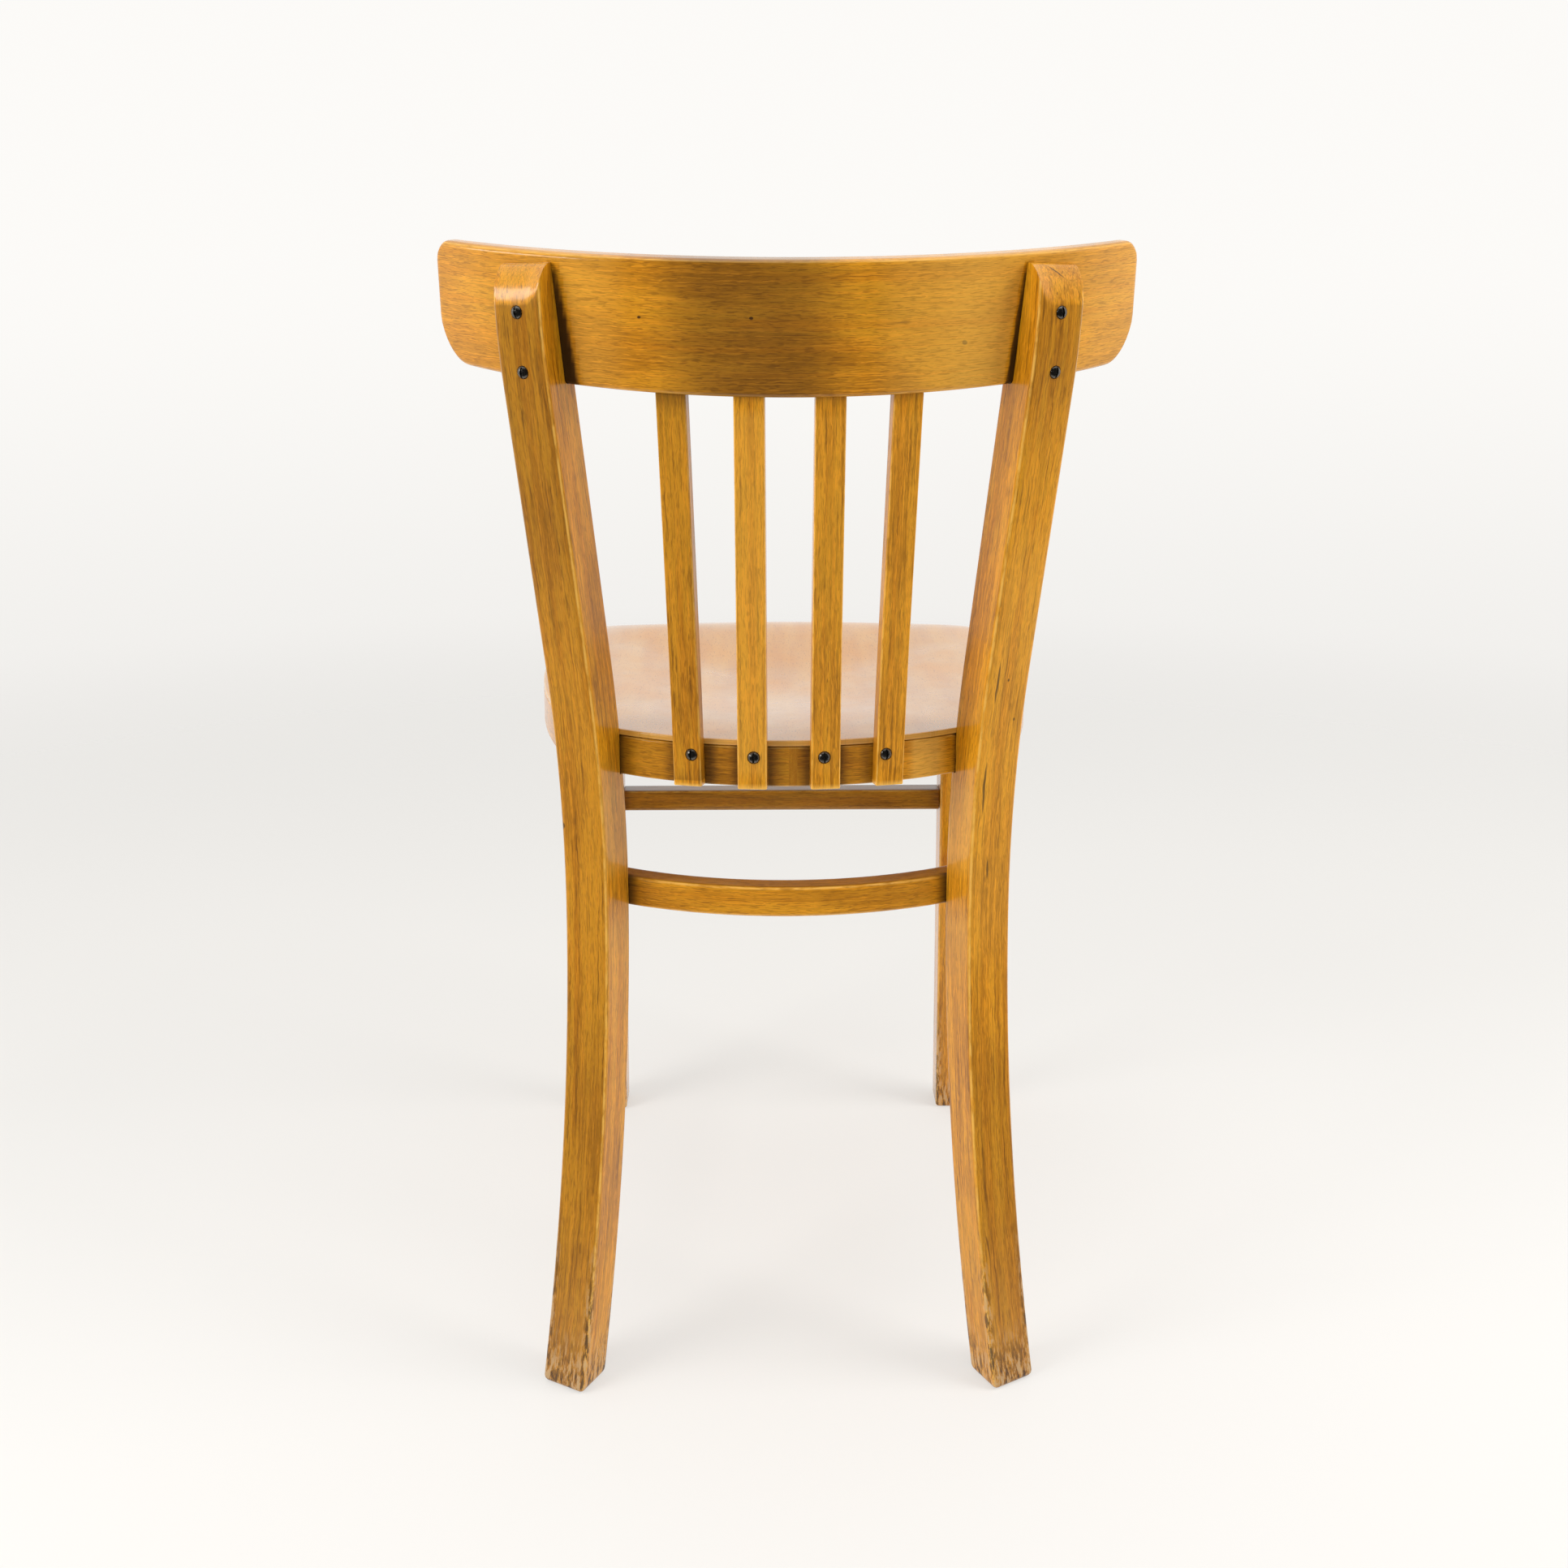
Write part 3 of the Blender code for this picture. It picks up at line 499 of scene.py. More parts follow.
class Nodes:
    """Short calls for the shader nodes of one tree, and the colour that its layers have come to."""

    def __init__(self, tree):
        self.tree = tree
        self.colour = None

    def add(self, kind, inputs=None, output=0, **settings):
        """Add a shader node. Returns one of its outputs."""
        return add_node(self.tree, "ShaderNode" + kind, inputs, **settings).outputs[output]

    def attribute(self, name, output="Vector"):
        """One of the piece's attributes."""
        return self.add("Attribute", None, output, attribute_name=name)

    def split(self, vector):
        """The three parts of a vector."""
        return add_node(self.tree, "ShaderNodeSeparateXYZ", {0: vector}).outputs

    def calc(self, operation, *values):
        """A Math node on values or sockets."""
        return self.add("Math", dict(enumerate(values)), operation=operation)

    def times(self, first, second):
        """Two values multiplied."""
        return self.calc("MULTIPLY", first, second)

    def noise(self, place, scale, offset=(0.0, 0.0, 0.0), detail=2.0, roughness=0.5, output=0):
        """A noise pattern from 0 to 1, scaled differently across, along and into the wood."""
        stretched = self.add("Mapping", {"Vector": place, "Scale": scale, "Location": offset})
        return self.add("TexNoise", {"Vector": stretched, "Scale": 1.0, "Detail": detail,
                                     "Roughness": roughness}, output)

    def ramp(self, value, low, high, to_low=0.0, to_high=1.0):
        """A value turned smoothly from one range into another."""
        return self.add("MapRange", {"Value": value, "From Min": low, "From Max": high, "To Min": to_low,
                                     "To Max": to_high}, interpolation_type="SMOOTHSTEP")

    def mix(self, share, first, second):
        """Two colours mixed by a share."""
        return self.add("Mix", {0: share, 6: first, 7: second}, 2, data_type="RGBA")

    def layer(self, share, colour):
        """Lay a colour over the ones before it, by a share."""
        self.colour = self.mix(share, self.colour, rgba(colour))

    def bump(self, height, strength, distance):
        """A normal tilted by a height."""
        return self.add("Bump", {"Height": height, "Strength": strength, "Distance": distance})

    def sight(self):
        """The kinds of ray, and which of them show the stage: straight, mirrored or through something."""
        rays = add_node(self.tree, "ShaderNodeLightPath").outputs
        straight = self.calc("MAXIMUM", rays["Is Camera Ray"], rays["Is Glossy Ray"])
        return rays, self.calc("MAXIMUM", straight, rays["Is Transmission Ray"])

    def spots(self, place, marks):
        """Where single marks lie: 1 inside one of them and 0 away from them all."""
        nearest = 0.0
        for middle, half_sizes, turn in marks:
            local = self.add("Mapping", {"Vector": place, "Location": middle, "Rotation": (0.0, 0.0, turn),
                                         "Scale": half_sizes}, vector_type="TEXTURE")
            away = self.add("VectorMath", {0: local}, "Value", operation="LENGTH")
            nearest = self.calc("MAXIMUM", nearest, self.ramp(away, 1.2, 0.7))
        return nearest


def new_material(name):
    """An empty material with its nodes and its shader."""
    material = bpy.data.materials.new(name)
    material.use_nodes = True
    return material, Nodes(material.node_tree), material.node_tree.nodes["Principled BSDF"]


def make_beech():
    """Varnished bent beech: flecked along the grain, streaked, worn with a painted highlight at the edges and
    bare at the feet.
    """
    name = "Varnished beech"
    if name in bpy.data.materials:
        return bpy.data.materials[name]
    looks = bpy.context.scene.bistro_looks
    material, wood, shader = new_material(name)
    grain = wood.attribute("grain")
    figure = wood.attribute("figure", "Fac")
    edge, height, dark = wood.split(wood.attribute("finish"))
    wander = wood.noise(grain, (110.0, 60.0, 110.0), output="Color")
    moved = wood.add("VectorMath", {0: wander, 1: (0.5, 0.5, 0.5)}, operation="SUBTRACT")
    moved = wood.add("VectorMath", {0: moved, "Scale": 0.0022}, operation="SCALE")
    wavy = wood.add("VectorMath", {0: grain, 1: moved}, operation="ADD")

    # Patches and bands of tone, then streaks, lines, dashes and flecks, from broad to fine
    patches = wood.noise(grain, (26.0, 9.0, 26.0), (3.1, 1.7, 0.4), 3.0, 0.55)
    bands = wood.noise(wavy, (170.0, 2.6, 170.0), detail=3.0, roughness=0.6)
    streaks = wood.noise(wavy, (640.0, 15.0, 640.0), (0.3, 2.1, 5.2), 3.0, 0.65)
    lines = wood.noise(wavy, (1250.0, 17.0, 1250.0), (9.3, 5.1, 2.2), 1.0)
    dashes = wood.noise(wavy, (1500.0, 110.0, 1500.0), (1.4, 0.2, 3.3), 1.0)
    flecks = wood.noise(wavy, (1700.0, 150.0, 1700.0), (7.4, 4.2, 1.3), 1.0)
    marks = wood.noise(wavy, (300.0, 22.0, 300.0), (4.4, 7.7, 6.1), 2.0, 0.6)
    long_grain = wood.ramp(figure, 0.0, 1.0, 1.0, 0.3)
    banded = wood.times(wood.calc("SUBTRACT", bands, 0.5), long_grain)
    wood.colour = rgba(looks.beech_light)
    wood.layer(wood.ramp(wood.calc("ADD", patches, banded), 0.36, 0.62), looks.beech_deep)
    wood.layer(wood.ramp(bands, 0.50, 0.72, 0.0, 0.7), looks.beech_orange)
    wood.layer(wood.ramp(patches, 0.45, 0.30, 0.0, 0.45), looks.beech_olive)
    wood.layer(wood.times(wood.ramp(streaks, 0.52, 0.68, 0.0, 0.65), long_grain), looks.beech_gold)
    wood.layer(wood.times(wood.ramp(streaks, 0.47, 0.31, 0.0, 0.75), long_grain), looks.beech_fleck)
    wood.layer(wood.ramp(lines, 0.52, 0.66, 0.0, 0.60), looks.beech_gold)
    fleck = wood.calc("MAXIMUM", wood.ramp(dashes, 0.52, 0.66, 0.0, 0.80),
                      wood.ramp(flecks, 0.58, 0.70, 0.0, 0.60))
    fleck = wood.times(fleck, wood.ramp(figure, 0.0, 1.0, 0.45, 0.60))
    wood.layer(wood.calc("MAXIMUM", fleck, wood.ramp(marks, 0.70, 0.78, 0.0, 0.8)), looks.beech_fleck)
    wood.layer(wood.times(wood.spots(wavy, MARKS), 0.85), looks.beech_dark_and_shade)

    # Rubbed edges that also carry a painted highlight, stretches paled and darkened by tone, grime and
    # painted light and shade, and feet that are scuffed bare and grimy
    rubbed = wood.noise(grain, (240.0, 70.0, 240.0), (5.0, 0.6, 2.5), 3.0, 0.6)
    # Painted highlight along the edges, together with rubbed varnish
    edge_wear_and_highlight = wood.times(wood.ramp(edge, 0.80, 0.30), wood.ramp(rubbed, 0.36, 0.60, 0.25, 1.0))
    wood.layer(wood.times(edge_wear_and_highlight, 0.9), looks.beech_pale_and_light)
    # Below 0 the third value pales the wood: own paler tones, end grain, chipped ends, and painted light on
    # the rail and the ring
    faded = wood.times(wood.ramp(dark, 0.0, -1.0), wood.calc("MULTIPLY_ADD", fleck, -0.5, 1.0))
    wood.layer(faded, looks.beech_pale_and_light)
    # Above 0 it darkens the wood: own tone and grime, and painted shade beside the posts, under the rail and
    # seat, and on the left post
    wood.layer(wood.ramp(dark, 0.0, 1.0), looks.beech_dark_and_shade)
    scuff = wood.noise(grain, (330.0, 70.0, 330.0), (0.5, 6.6, 1.5), 5.0, 0.70)
    kicked = wood.times(wood.ramp(edge, 2.8, 0.4), wood.ramp(height, 0.125, 0.035))
    kicked = wood.calc("MAXIMUM", kicked, wood.ramp(height, 0.045, 0.004))
    bare = wood.times(kicked, wood.ramp(scuff, 0.50, 0.57))
    wood.layer(wood.times(bare, 0.70), looks.beech_bare)
    wood.layer(wood.times(wood.times(kicked, wood.ramp(scuff, 0.52, 0.42)), 0.85), looks.beech_dark_and_shade)

    smears = wood.noise(grain, (45.0, 14.0, 45.0), (8.0, 3.0, 4.0), 4.0, 0.6)
    relief = wood.noise(grain, (150.0, 60.0, 150.0), (1.0, 2.0, 3.0))
    relief = wood.calc("MULTIPLY_ADD", fleck, -0.30, relief)
    relief = wood.calc("MULTIPLY_ADD", streaks, 0.35, relief)
    set_inputs(wood.tree, shader, {
        "Base Color": wood.colour,
        "Roughness": wood.calc("ADD", wood.ramp(smears, 0.3, 0.7, 0.38, 0.56), wood.times(bare, 0.25)),
        "Specular IOR Level": 0.12,
        "Coat Weight": looks.varnish_weight,
        "Coat Roughness": looks.varnish_roughness,
        "Coat IOR": 1.5,
        "Normal": wood.bump(relief, 0.25, 0.0006),
        "Coat Normal": wood.bump(relief, 0.10, 0.0005),
    })
    return material


def make_seat_ply():
    """The seat's varnished face veneer, with its plies showing at the edge."""
    looks = bpy.context.scene.bistro_looks
    material, ply, shader = new_material("Seat plywood")
    grain = ply.attribute("grain")
    edge = ply.split(ply.attribute("finish"))[0]
    below = ply.split(grain)[2]
    bands = ply.noise(grain, (38.0, 5.0, 4.0), detail=3.0, roughness=0.55)
    dashes = ply.noise(grain, (1100.0, 190.0, 10.0), (1.4, 0.2, 3.3), 2.0, 0.55)
    worn = ply.noise(grain, (14.0, 11.0, 4.0), (4.0, 2.0, 0.0), 3.0, 0.6)
    ply.colour = rgba(looks.ply_light)
    ply.layer(ply.ramp(bands, 0.3, 0.7), looks.ply_deep)
    ply.layer(ply.ramp(worn, 0.40, 0.70, 0.0, 0.35), looks.beech_orange)
    ply.layer(ply.ramp(dashes, 0.56, 0.72, 0.0, 0.45), looks.beech_fleck)
    glue = ply.calc("PINGPONG", ply.calc("SUBTRACT", below, 0.0007), 0.0007)
    plies = ply.times(ply.ramp(below, 0.0004, 0.0008), ply.ramp(glue, 0.00022, 0.0))
    ply.layer(ply.times(plies, 0.7), looks.beech_dark_and_shade)
    # A paler rounded rim: partly rubbed varnish, partly painted highlight
    ply.layer(ply.times(ply.ramp(edge, 1.2, 0.2), 0.4), looks.beech_pale_and_light)
    normal = ply.bump(ply.noise(grain, (90.0, 60.0, 10.0)), 0.10, 0.0006)
    set_inputs(ply.tree, shader, {
        "Base Color": ply.colour,
        "Roughness": ply.ramp(worn, 0.3, 0.7, 0.26, 0.42),
        "Coat Weight": looks.varnish_weight,
        "Coat Roughness": looks.seat_roughness,
        "Normal": normal,
        "Coat Normal": normal,
    })
    return material


def make_black_steel():
    """Blackened screw steel, rubbed bright in places."""
    looks = bpy.context.scene.bistro_looks
    material, steel, shader = new_material("Blackened steel")
    place = steel.add("TexCoord", None, "Object")
    rubbed = steel.noise(place, (900.0, 900.0, 900.0), detail=3.0, roughness=0.6)
    steel.colour = rgba(looks.screw_black)
    steel.layer(steel.ramp(rubbed, 0.52, 0.72, 0.0, 0.7), looks.screw_worn)
    set_inputs(steel.tree, shader, {
        "Base Color": steel.colour,
        "Roughness": steel.ramp(rubbed, 0.3, 0.7, 0.16, 0.34),
        "Metallic": 1.0,
        "Normal": steel.bump(rubbed, 0.2, 0.0002),
    })
    return material


# Rear posts

def post_sweep(height):
    """How far out along its own plane the post stands, at a height."""
    rise = height - POST_BEND_HEIGHT
    if rise < 0.0:
        return rise ** 2 / (2.0 * LEG_BEND_RADIUS)
    arc_rise = BACK_BEND_RADIUS * math.tan(BACK_LEAN)
    if rise < arc_rise:
        return rise ** 2 / (2.0 * BACK_BEND_RADIUS)
    straightened = max(0.0, height - POST_CREST_START) ** 2 / (2.0 * POST_CREST_RADIUS)
    lean = arc_rise ** 2 / (2.0 * BACK_BEND_RADIUS) + (rise - arc_rise) * math.tan(BACK_LEAN)
    return lean - straightened


def post_axes(side):
    """The post's directions in plan: across its back face, and out of its back face."""
    across = Vector((side * math.cos(POST_TURN), -math.sin(POST_TURN), 0.0))
    outward = Vector((side * math.sin(POST_TURN), math.cos(POST_TURN), 0.0))
    return across, outward


def post_centre(side, height):
    """A point of the post's centre line."""
    bend_turn = LEG_BEND_TURN if height < POST_BEND_HEIGHT else POST_TURN
    bend = Vector((side * math.sin(bend_turn), math.cos(bend_turn), 0.0))
    return Vector((side * BACK_LINE_X, BACK_LINE_Y, height)) + bend * post_sweep(height)


def post_half_sizes(height):
    """Half the post's width and half its depth at a height."""
    scale = POST_FOOT_SCALE + (POST_CREST_SCALE - POST_FOOT_SCALE) * height / POST_TOP
    return POST_WIDTH / 2.0 * scale, POST_DEPTH / 2.0 * scale


def post_point(side, height, across_part, outward_part):
    """A point of the post's section: the parts run from -1 to 1 over its width and its depth."""
    across, outward = post_axes(side)
    half_width, half_depth = post_half_sizes(height)
    return post_centre(side, height) + across * across_part * half_width + outward * outward_part * half_depth


def post_place(side, point):
    """Where a point lies in the post's section, across and outward, and half the section's sizes there."""
    offset = point - post_centre(side, point.z)
    across, outward = post_axes(side)
    return (offset.dot(across), offset.dot(outward), *post_half_sizes(point.z))


def post_normal(side, height):
    """The direction out of the post's back face at a height."""
    run = post_centre(side, height + 0.001) - post_centre(side, height - 0.001)
    return run.cross(post_axes(side)[0] * side).normalized()


def post_nose_depth(height, across_offset):
    """How far out the rounded top lets the post reach. The round starts higher by the inner edge."""
    half_width, half_depth = post_half_sizes(height)
    climb = (height - POST_TOP + POST_NOSE_HEIGHT) / POST_NOSE_HEIGHT
    late = POST_NOSE_LATE * max(0.0, 1.0 - (half_width + across_offset) / POST_NOSE_CORNER) ** 1.3
    climb = clamp((climb - late) / (1.0 - late))
    fall = (1.0 - POST_NOSE_SLOPE) * (1.0 - math.sqrt(1.0 - climb * climb)) + POST_NOSE_SLOPE * climb
    return half_depth * (1.0 - 2.0 * POST_NOSE_SHARE * fall)


def build_post(name, side, edge):
    """One bent post with its top rounded over from the back face towards the rail."""
    straight_top = POST_TOP - POST_NOSE_HEIGHT
    run = rounded_run(0.0, straight_top, POST_FOOT_ROUNDING, 0.009)
    run = [(height, inset) for height, inset in run if height < straight_top - 0.004]
    run += [(straight_top + POST_NOSE_HEIGHT * math.sin(math.pi / 2.0 * i / POST_NOSE_STEPS), 0.0)
            for i in range(POST_NOSE_STEPS + 1)]
    across, outward = post_axes(side)
    rings = []
    for height, inset in run:
        wide, deep = (half - inset for half in post_half_sizes(height))
        shape = section(-wide, wide, -deep, deep, edge, 9)
        centre = post_centre(side, height)
        rings.append([centre + across * a + outward * min(b, post_nose_depth(height, a)) for a, b in shape])
    return loft(name, rings)


def post_grain(side, point):
    """Where a point lies in the post's straight board, and how near an edge."""
    a, b, half_width, half_depth = post_place(side, point)
    return a, point.z, b, edge_distance(half_width - abs(a), half_depth - abs(b), point.z)


def post_tone_and_shade(side, point):
    """Each post's tone up its length with painted shade on the left post, darker by its joints, and paler end
    grain on the rounded top.
    """
    a, out, half_width, half_depth = post_place(side, point)
    round_depth = post_nose_depth(point.z, a)
    past_round = half_depth - round_depth
    if point.z > POST_TOP - POST_NOSE_HEIGHT and past_round > 0.0001 and out > round_depth - 0.0008:
        return -0.14 * min(1.0, past_round / 0.002)
    # On the inner face: darker by the joints, and paler around 0.38 m up
    if a < 0.0015 - half_width:
        joint = max(shade_and_grime_falloff(abs(point.z - middle) - half, 0.008) for middle, half in POST_JOINTS)
        return 0.2 * joint - 0.33 * shade_and_grime_falloff(abs(point.z - 0.38) - 0.04, 0.12)
    # The left post is painted darker all along, as painted shade for the weaker light on its side; each post
    # changes tone up its length and goes darker towards the foot
    if side > 0:
        return 0.45 - 0.13 * shade_and_grime_falloff(point.z - 0.50, 0.10) + 0.07 * shade_and_grime_falloff(point.z - 0.20, 0.13)
    return 0.34 - 0.56 * shade_and_grime_falloff(point.z - 0.56, 0.14) + 0.56 * shade_and_grime_falloff(point.z - 0.20, 0.13)


def beside_post(point):
    """How far a point lies from the inner side face of the nearer post."""
    a, out, half_width, half_depth = post_place(1 if point.x > 0.0 else -1, point)
    return -half_width - a


# Top rail

def rail_point(along, up, depth):
    """A point of the rail: along its length, up its face, and depth in front of its back face."""
    angle = along / RAIL_RADIUS
    radius = RAIL_RADIUS - depth
    forward = RAIL_RADIUS - radius * math.cos(angle)
    return Vector((radius * math.sin(angle),
                   RAIL_BACK_Y - forward * math.cos(RAIL_LEAN) + up * math.sin(RAIL_LEAN),
                   RAIL_MIDDLE_Z + forward * math.sin(RAIL_LEAN) + up * math.cos(RAIL_LEAN)))


def rail_limits(along):
    """The rail's lower and upper limit on its face, and its thickness, at a place along it."""
    limits = []
    for sign, (length, height) in ((-1.0, RAIL_LOWER_CORNER), (1.0, RAIL_TOP_CORNER)):
        limit = sign * (RAIL_HEIGHT / 2.0 - height * drawn_in((RAIL_HALF_LENGTH - abs(along)) / length))
        limits.append(limit + RAIL_END_TAPER * (along / RAIL_HALF_LENGTH) ** 2 * (0.5 - limit / RAIL_HEIGHT))
    end_share = min(1.0, abs(along) / RAIL_HALF_LENGTH) ** 3
    return (*limits, RAIL_THICKNESS + (RAIL_END_THICKNESS - RAIL_THICKNESS) * end_share)


def build_rail(name, edge, grow=0.0):
    """The bent crest board. A grown one is the shape of its housing."""
    end = [RAIL_HALF_LENGTH - RAIL_END_LENGTH * (1.0 - math.cos(math.pi / 2.0 * i / RAIL_END_STEPS))
           for i in range(RAIL_END_STEPS + 1)]
    middle = [end[-1] - 2.0 * end[-1] * i / RAIL_STEPS for i in range(1, RAIL_STEPS)]
    rings = []
    for along in end + middle + [-place for place in reversed(end)]:
        low, high, thickness = rail_limits(along)
        inset = min(edge * drawn_in((RAIL_HALF_LENGTH - abs(along)) / edge), thickness * 0.42)
        shape = section(low - grow + inset * 0.3, high + grow - inset * 0.3,
                        -grow + inset, thickness + grow - inset, edge, 8)
        stretched = along * (1.0 + grow / RAIL_HALF_LENGTH)
        rings.append([rail_point(stretched, up, depth) for up, depth in shape])
    return loft(name, rings)


def rail_grain(point):
    """Where a point lies in the rail's straight board, and how near an edge."""
    back = RAIL_BACK_Y - point.y
    rise = point.z - RAIL_MIDDLE_Z
    forward = back * math.cos(RAIL_LEAN) + rise * math.sin(RAIL_LEAN)
    up = rise * math.cos(RAIL_LEAN) - back * math.sin(RAIL_LEAN)
    along = RAIL_RADIUS * math.atan2(point.x, RAIL_RADIUS - forward)
    depth = RAIL_RADIUS - math.hypot(point.x, RAIL_RADIUS - forward)
    low, high, thickness = rail_limits(along)
    edge = edge_distance(min(up - low, high - up), min(depth, thickness - depth),
                         max(0.0, RAIL_HALF_LENGTH - abs(along)))
    return up, along, depth, edge


def rail_tone_and_shade(point):
    """Painted light and shade along the bow, darker in the middle and paler towards the ends, and a narrowing
    wedge of painted shadow beside each post.
    """
    # Painted light and shade: darker in the middle and a little at the left end, paler elsewhere, most around
    # x = -0.115
    tone = 0.82 * math.exp(-((point.x - 0.024) / 0.07) ** 4) - 0.31
    tone += 0.12 * shade_and_grime_falloff(0.20 - point.x, 0.04) - 0.15 * math.exp(-((point.x + 0.115) / 0.03) ** 2)
    beside = beside_post(point)
    if beside < -0.004 or rail_grain(point)[2] > 0.003:
        return tone
    # Painted shadow that each post casts on the rail's back face, widening downwards and wider beside the
    # left post
    fall = clamp((POST_TOP - point.z) / 0.085) ** 0.45
    reach = (0.0125 if point.x > 0.0 else 0.0065) * fall
    return darken(tone, fall ** 0.2 * shade_and_grime_falloff(beside - 0.6 * reach, 0.0004 + 0.45 * reach))


# Seat ring and seat panel

def seat_path(spacing):
    """Points round the seat's edge from the middle of the back, by +X: x, y, normal x, normal y and run."""
    x = 0.0
    y = SEAT_REAR_Y
    heading = 0.0
    half = [(x, y, heading)]
    for radius, amount in SEAT_ARCS + (("last", SEAT_FRONT_TURN),):
        if radius is None:
            count = max(2, round(amount / spacing))
            for i in range(1, count + 1):
                run = amount * i / count
                half.append((x + run * math.cos(heading), y - run * math.sin(heading), heading))
            x, y = half[-1][:2]
            continue
        turn = math.radians(amount)
        if radius == "last":
            radius = x / math.sin(turn)
        count = max(4, round(radius * turn / spacing))
        for i in range(1, count + 1):
            angle = heading + turn * i / count
            half.append((x + radius * (math.sin(angle) - math.sin(heading)),
                         y - radius * (math.cos(heading) - math.cos(angle)), angle))
        x, y = half[-1][:2]
        heading += turn
    half[-1] = (0.0, half[-1][1], math.pi)
    whole = half + [(-x, y, -angle) for x, y, angle in reversed(half[1:-1])]
    points = []
    run = 0.0
    for (x, y, angle), before in zip(whole, whole[:1] + whole):
        run += math.hypot(x - before[0], y - before[1])
        points.append((x, y, math.sin(angle), math.cos(angle), run))
    return points


def nearest_on(path, point):
    """The point of a path that lies nearest in plan."""
    return min(path, key=lambda p: (p[0] - point.x) ** 2 + (p[1] - point.y) ** 2)


def seat_outline(offset):
    """The seat's outline moved out by an offset."""
    return [(x + nx * offset, y + ny * offset) for x, y, nx, ny, run in seat_path(RING_SPACING)]


def seat_housing():
    """The room that the seat and its ring take up."""
    return loft("seat_housing", [[(x, y, height) for x, y in seat_outline(GAP)]
                                 for height in (RING_BOTTOM - GAP, SEAT_TOP + 0.001)], flat_ends=True)


def ring_surface(x, offset=0.0):
    """The ring's rear surface over its first arc: a point at x, and its direction out of the wood."""
    radius = SEAT_ARCS[0][0] + offset
    angle = math.asin(x / radius)
    y = SEAT_REAR_Y + offset - radius * (1.0 - math.cos(angle))
    return Vector((x, y, 0.0)), Vector((math.sin(angle), math.cos(angle), 0.0))


def ring_grain(path, point):
    """Where a point lies in the ring's straight strip, and how near an edge."""
    x, y, nx, ny, run = nearest_on(path, point)
    away = (point.x - x) * nx + (point.y - y) * ny
    along = run + (point.x - x) * ny - (point.y - y) * nx
    edge = edge_distance(min(-away, away + RING_WIDTH), min(point.z - RING_BOTTOM, RING_TOP - point.z), 1.0)
    return point.z, along, away, edge


def ring_tone_and_shade(path, point):
    """A paler part towards -X as painted light, and on the outer face painted shadow beside the posts and
    painted shade with grime beside the slats.
    """
    if point.y < BACK_LINE_Y - 0.03:
        return 0.1
    # Painted light: the part towards -X is paler
    tone = 0.30 - 0.80 * shade_and_grime_falloff(point.x + 0.080, 0.05)
    beside = beside_post(point)
    if beside < -0.003 or ring_grain(path, point)[2] < -0.003:
        return tone
    beside_slat = min(abs(abs(point.x) - foot) for foot in SLAT_FOOT_X) - SLAT_WIDTH / 2.0
    # Painted shadow in the gaps beside the posts, and painted shade with some grime beside the slats
    return darken(tone, max(0.92 * shade_and_grime_falloff(beside, 0.005), 0.45 * shade_and_grime_falloff(beside, 0.016),
                            0.55 * shade_and_grime_falloff(beside_slat, 0.011)))


def panel_rise(share, towards_front, dish_depth):
    """The panel's height over its edge: dished in the middle, and rolled over behind the front edge."""
    dish = dish_depth * (1.0 - min(1.0, share / PANEL_RIM) ** 2) ** 2
    return PANEL_CROWN * max(0.0, towards_front) ** 2 * (1.0 - share ** 10) - dish


def panel_centre(path):
    """The point that the panel is drawn out from."""
    front_y = min(y for x, y, nx, ny, run in path)
    return Vector((0.0, (SEAT_REAR_Y + front_y) / 2.0 + PANEL_MIDDLE_SHIFT))


def build_panel(name, path, centre, edge, dish_depth):
    """The moulded plywood seat, drawn out ring by ring from its middle to its rounded rim."""
    shares = [i / PANEL_RINGS for i in range(1, PANEL_RINGS)] + [PANEL_LAST_RING]
    angles = [math.pi / 2.0 * i / PANEL_RIM_STEPS for i in range(PANEL_RIM_STEPS + 1)]
    rim = [(edge * (1.0 - math.sin(t)), edge * (1.0 - math.cos(t))) for t in angles]
    profile = [(share, 0.0, 0.0) for share in shares]
    profile += [(1.0, inset, drop) for inset, drop in rim]
    profile += [(1.0, inset, PANEL_THICKNESS - drop) for inset, drop in reversed(rim)]
    profile += [(share, 0.0, PANEL_THICKNESS) for share in reversed(shares)]
    rings = []
    for share, inset, drop in profile:
        ring = []
        for x, y, nx, ny, run in path:
            flat = Vector((x - nx * inset, y - ny * inset)) - centre
            rise = panel_rise(share, -share * flat.normalized().y, dish_depth)
            ring.append((centre.x + flat.x * share, centre.y + flat.y * share, SEAT_TOP + rise - drop))
        rings.append(ring)
    return loft(name, rings)


def panel_grain(path, centre, dish_depth, point):
    """Where a point lies on the seat and how far below its top face, and how near the rim."""
    x, y, nx, ny, run = nearest_on(path, point)
    inward = (x - point.x) * nx + (y - point.y) * ny
    away = point.to_2d() - centre
    share = away.length / max(1e-9, away.length + max(0.0, inward))
    top = SEAT_TOP + panel_rise(share, -share * away.normalized().y, dish_depth)
    below = max(0.0, top - point.z) if inward < 0.02 else 0.0
    return point.x, point.y, below, max(0.0, inward)


# Back slats

def slat_top_height():
    """Height of the rail's lower edge at its middle, where the slats go in."""
    return rail_point(0.0, -RAIL_HEIGHT / 2.0, RAIL_THICKNESS / 2.0).z


def slat_lean(height):
    """How far along its way back a slat has come at a height, from 0 at its foot to 1 at the rail."""
    whole = slat_top_height() - SLAT_STRAIGHT_TO - SLAT_BEND_LENGTH / 2.0
    rise = max(0.0, height - SLAT_STRAIGHT_TO)
    if rise < SLAT_BEND_LENGTH:
        return rise ** 2 / (2.0 * SLAT_BEND_LENGTH) / whole
    return (rise - SLAT_BEND_LENGTH / 2.0) / whole


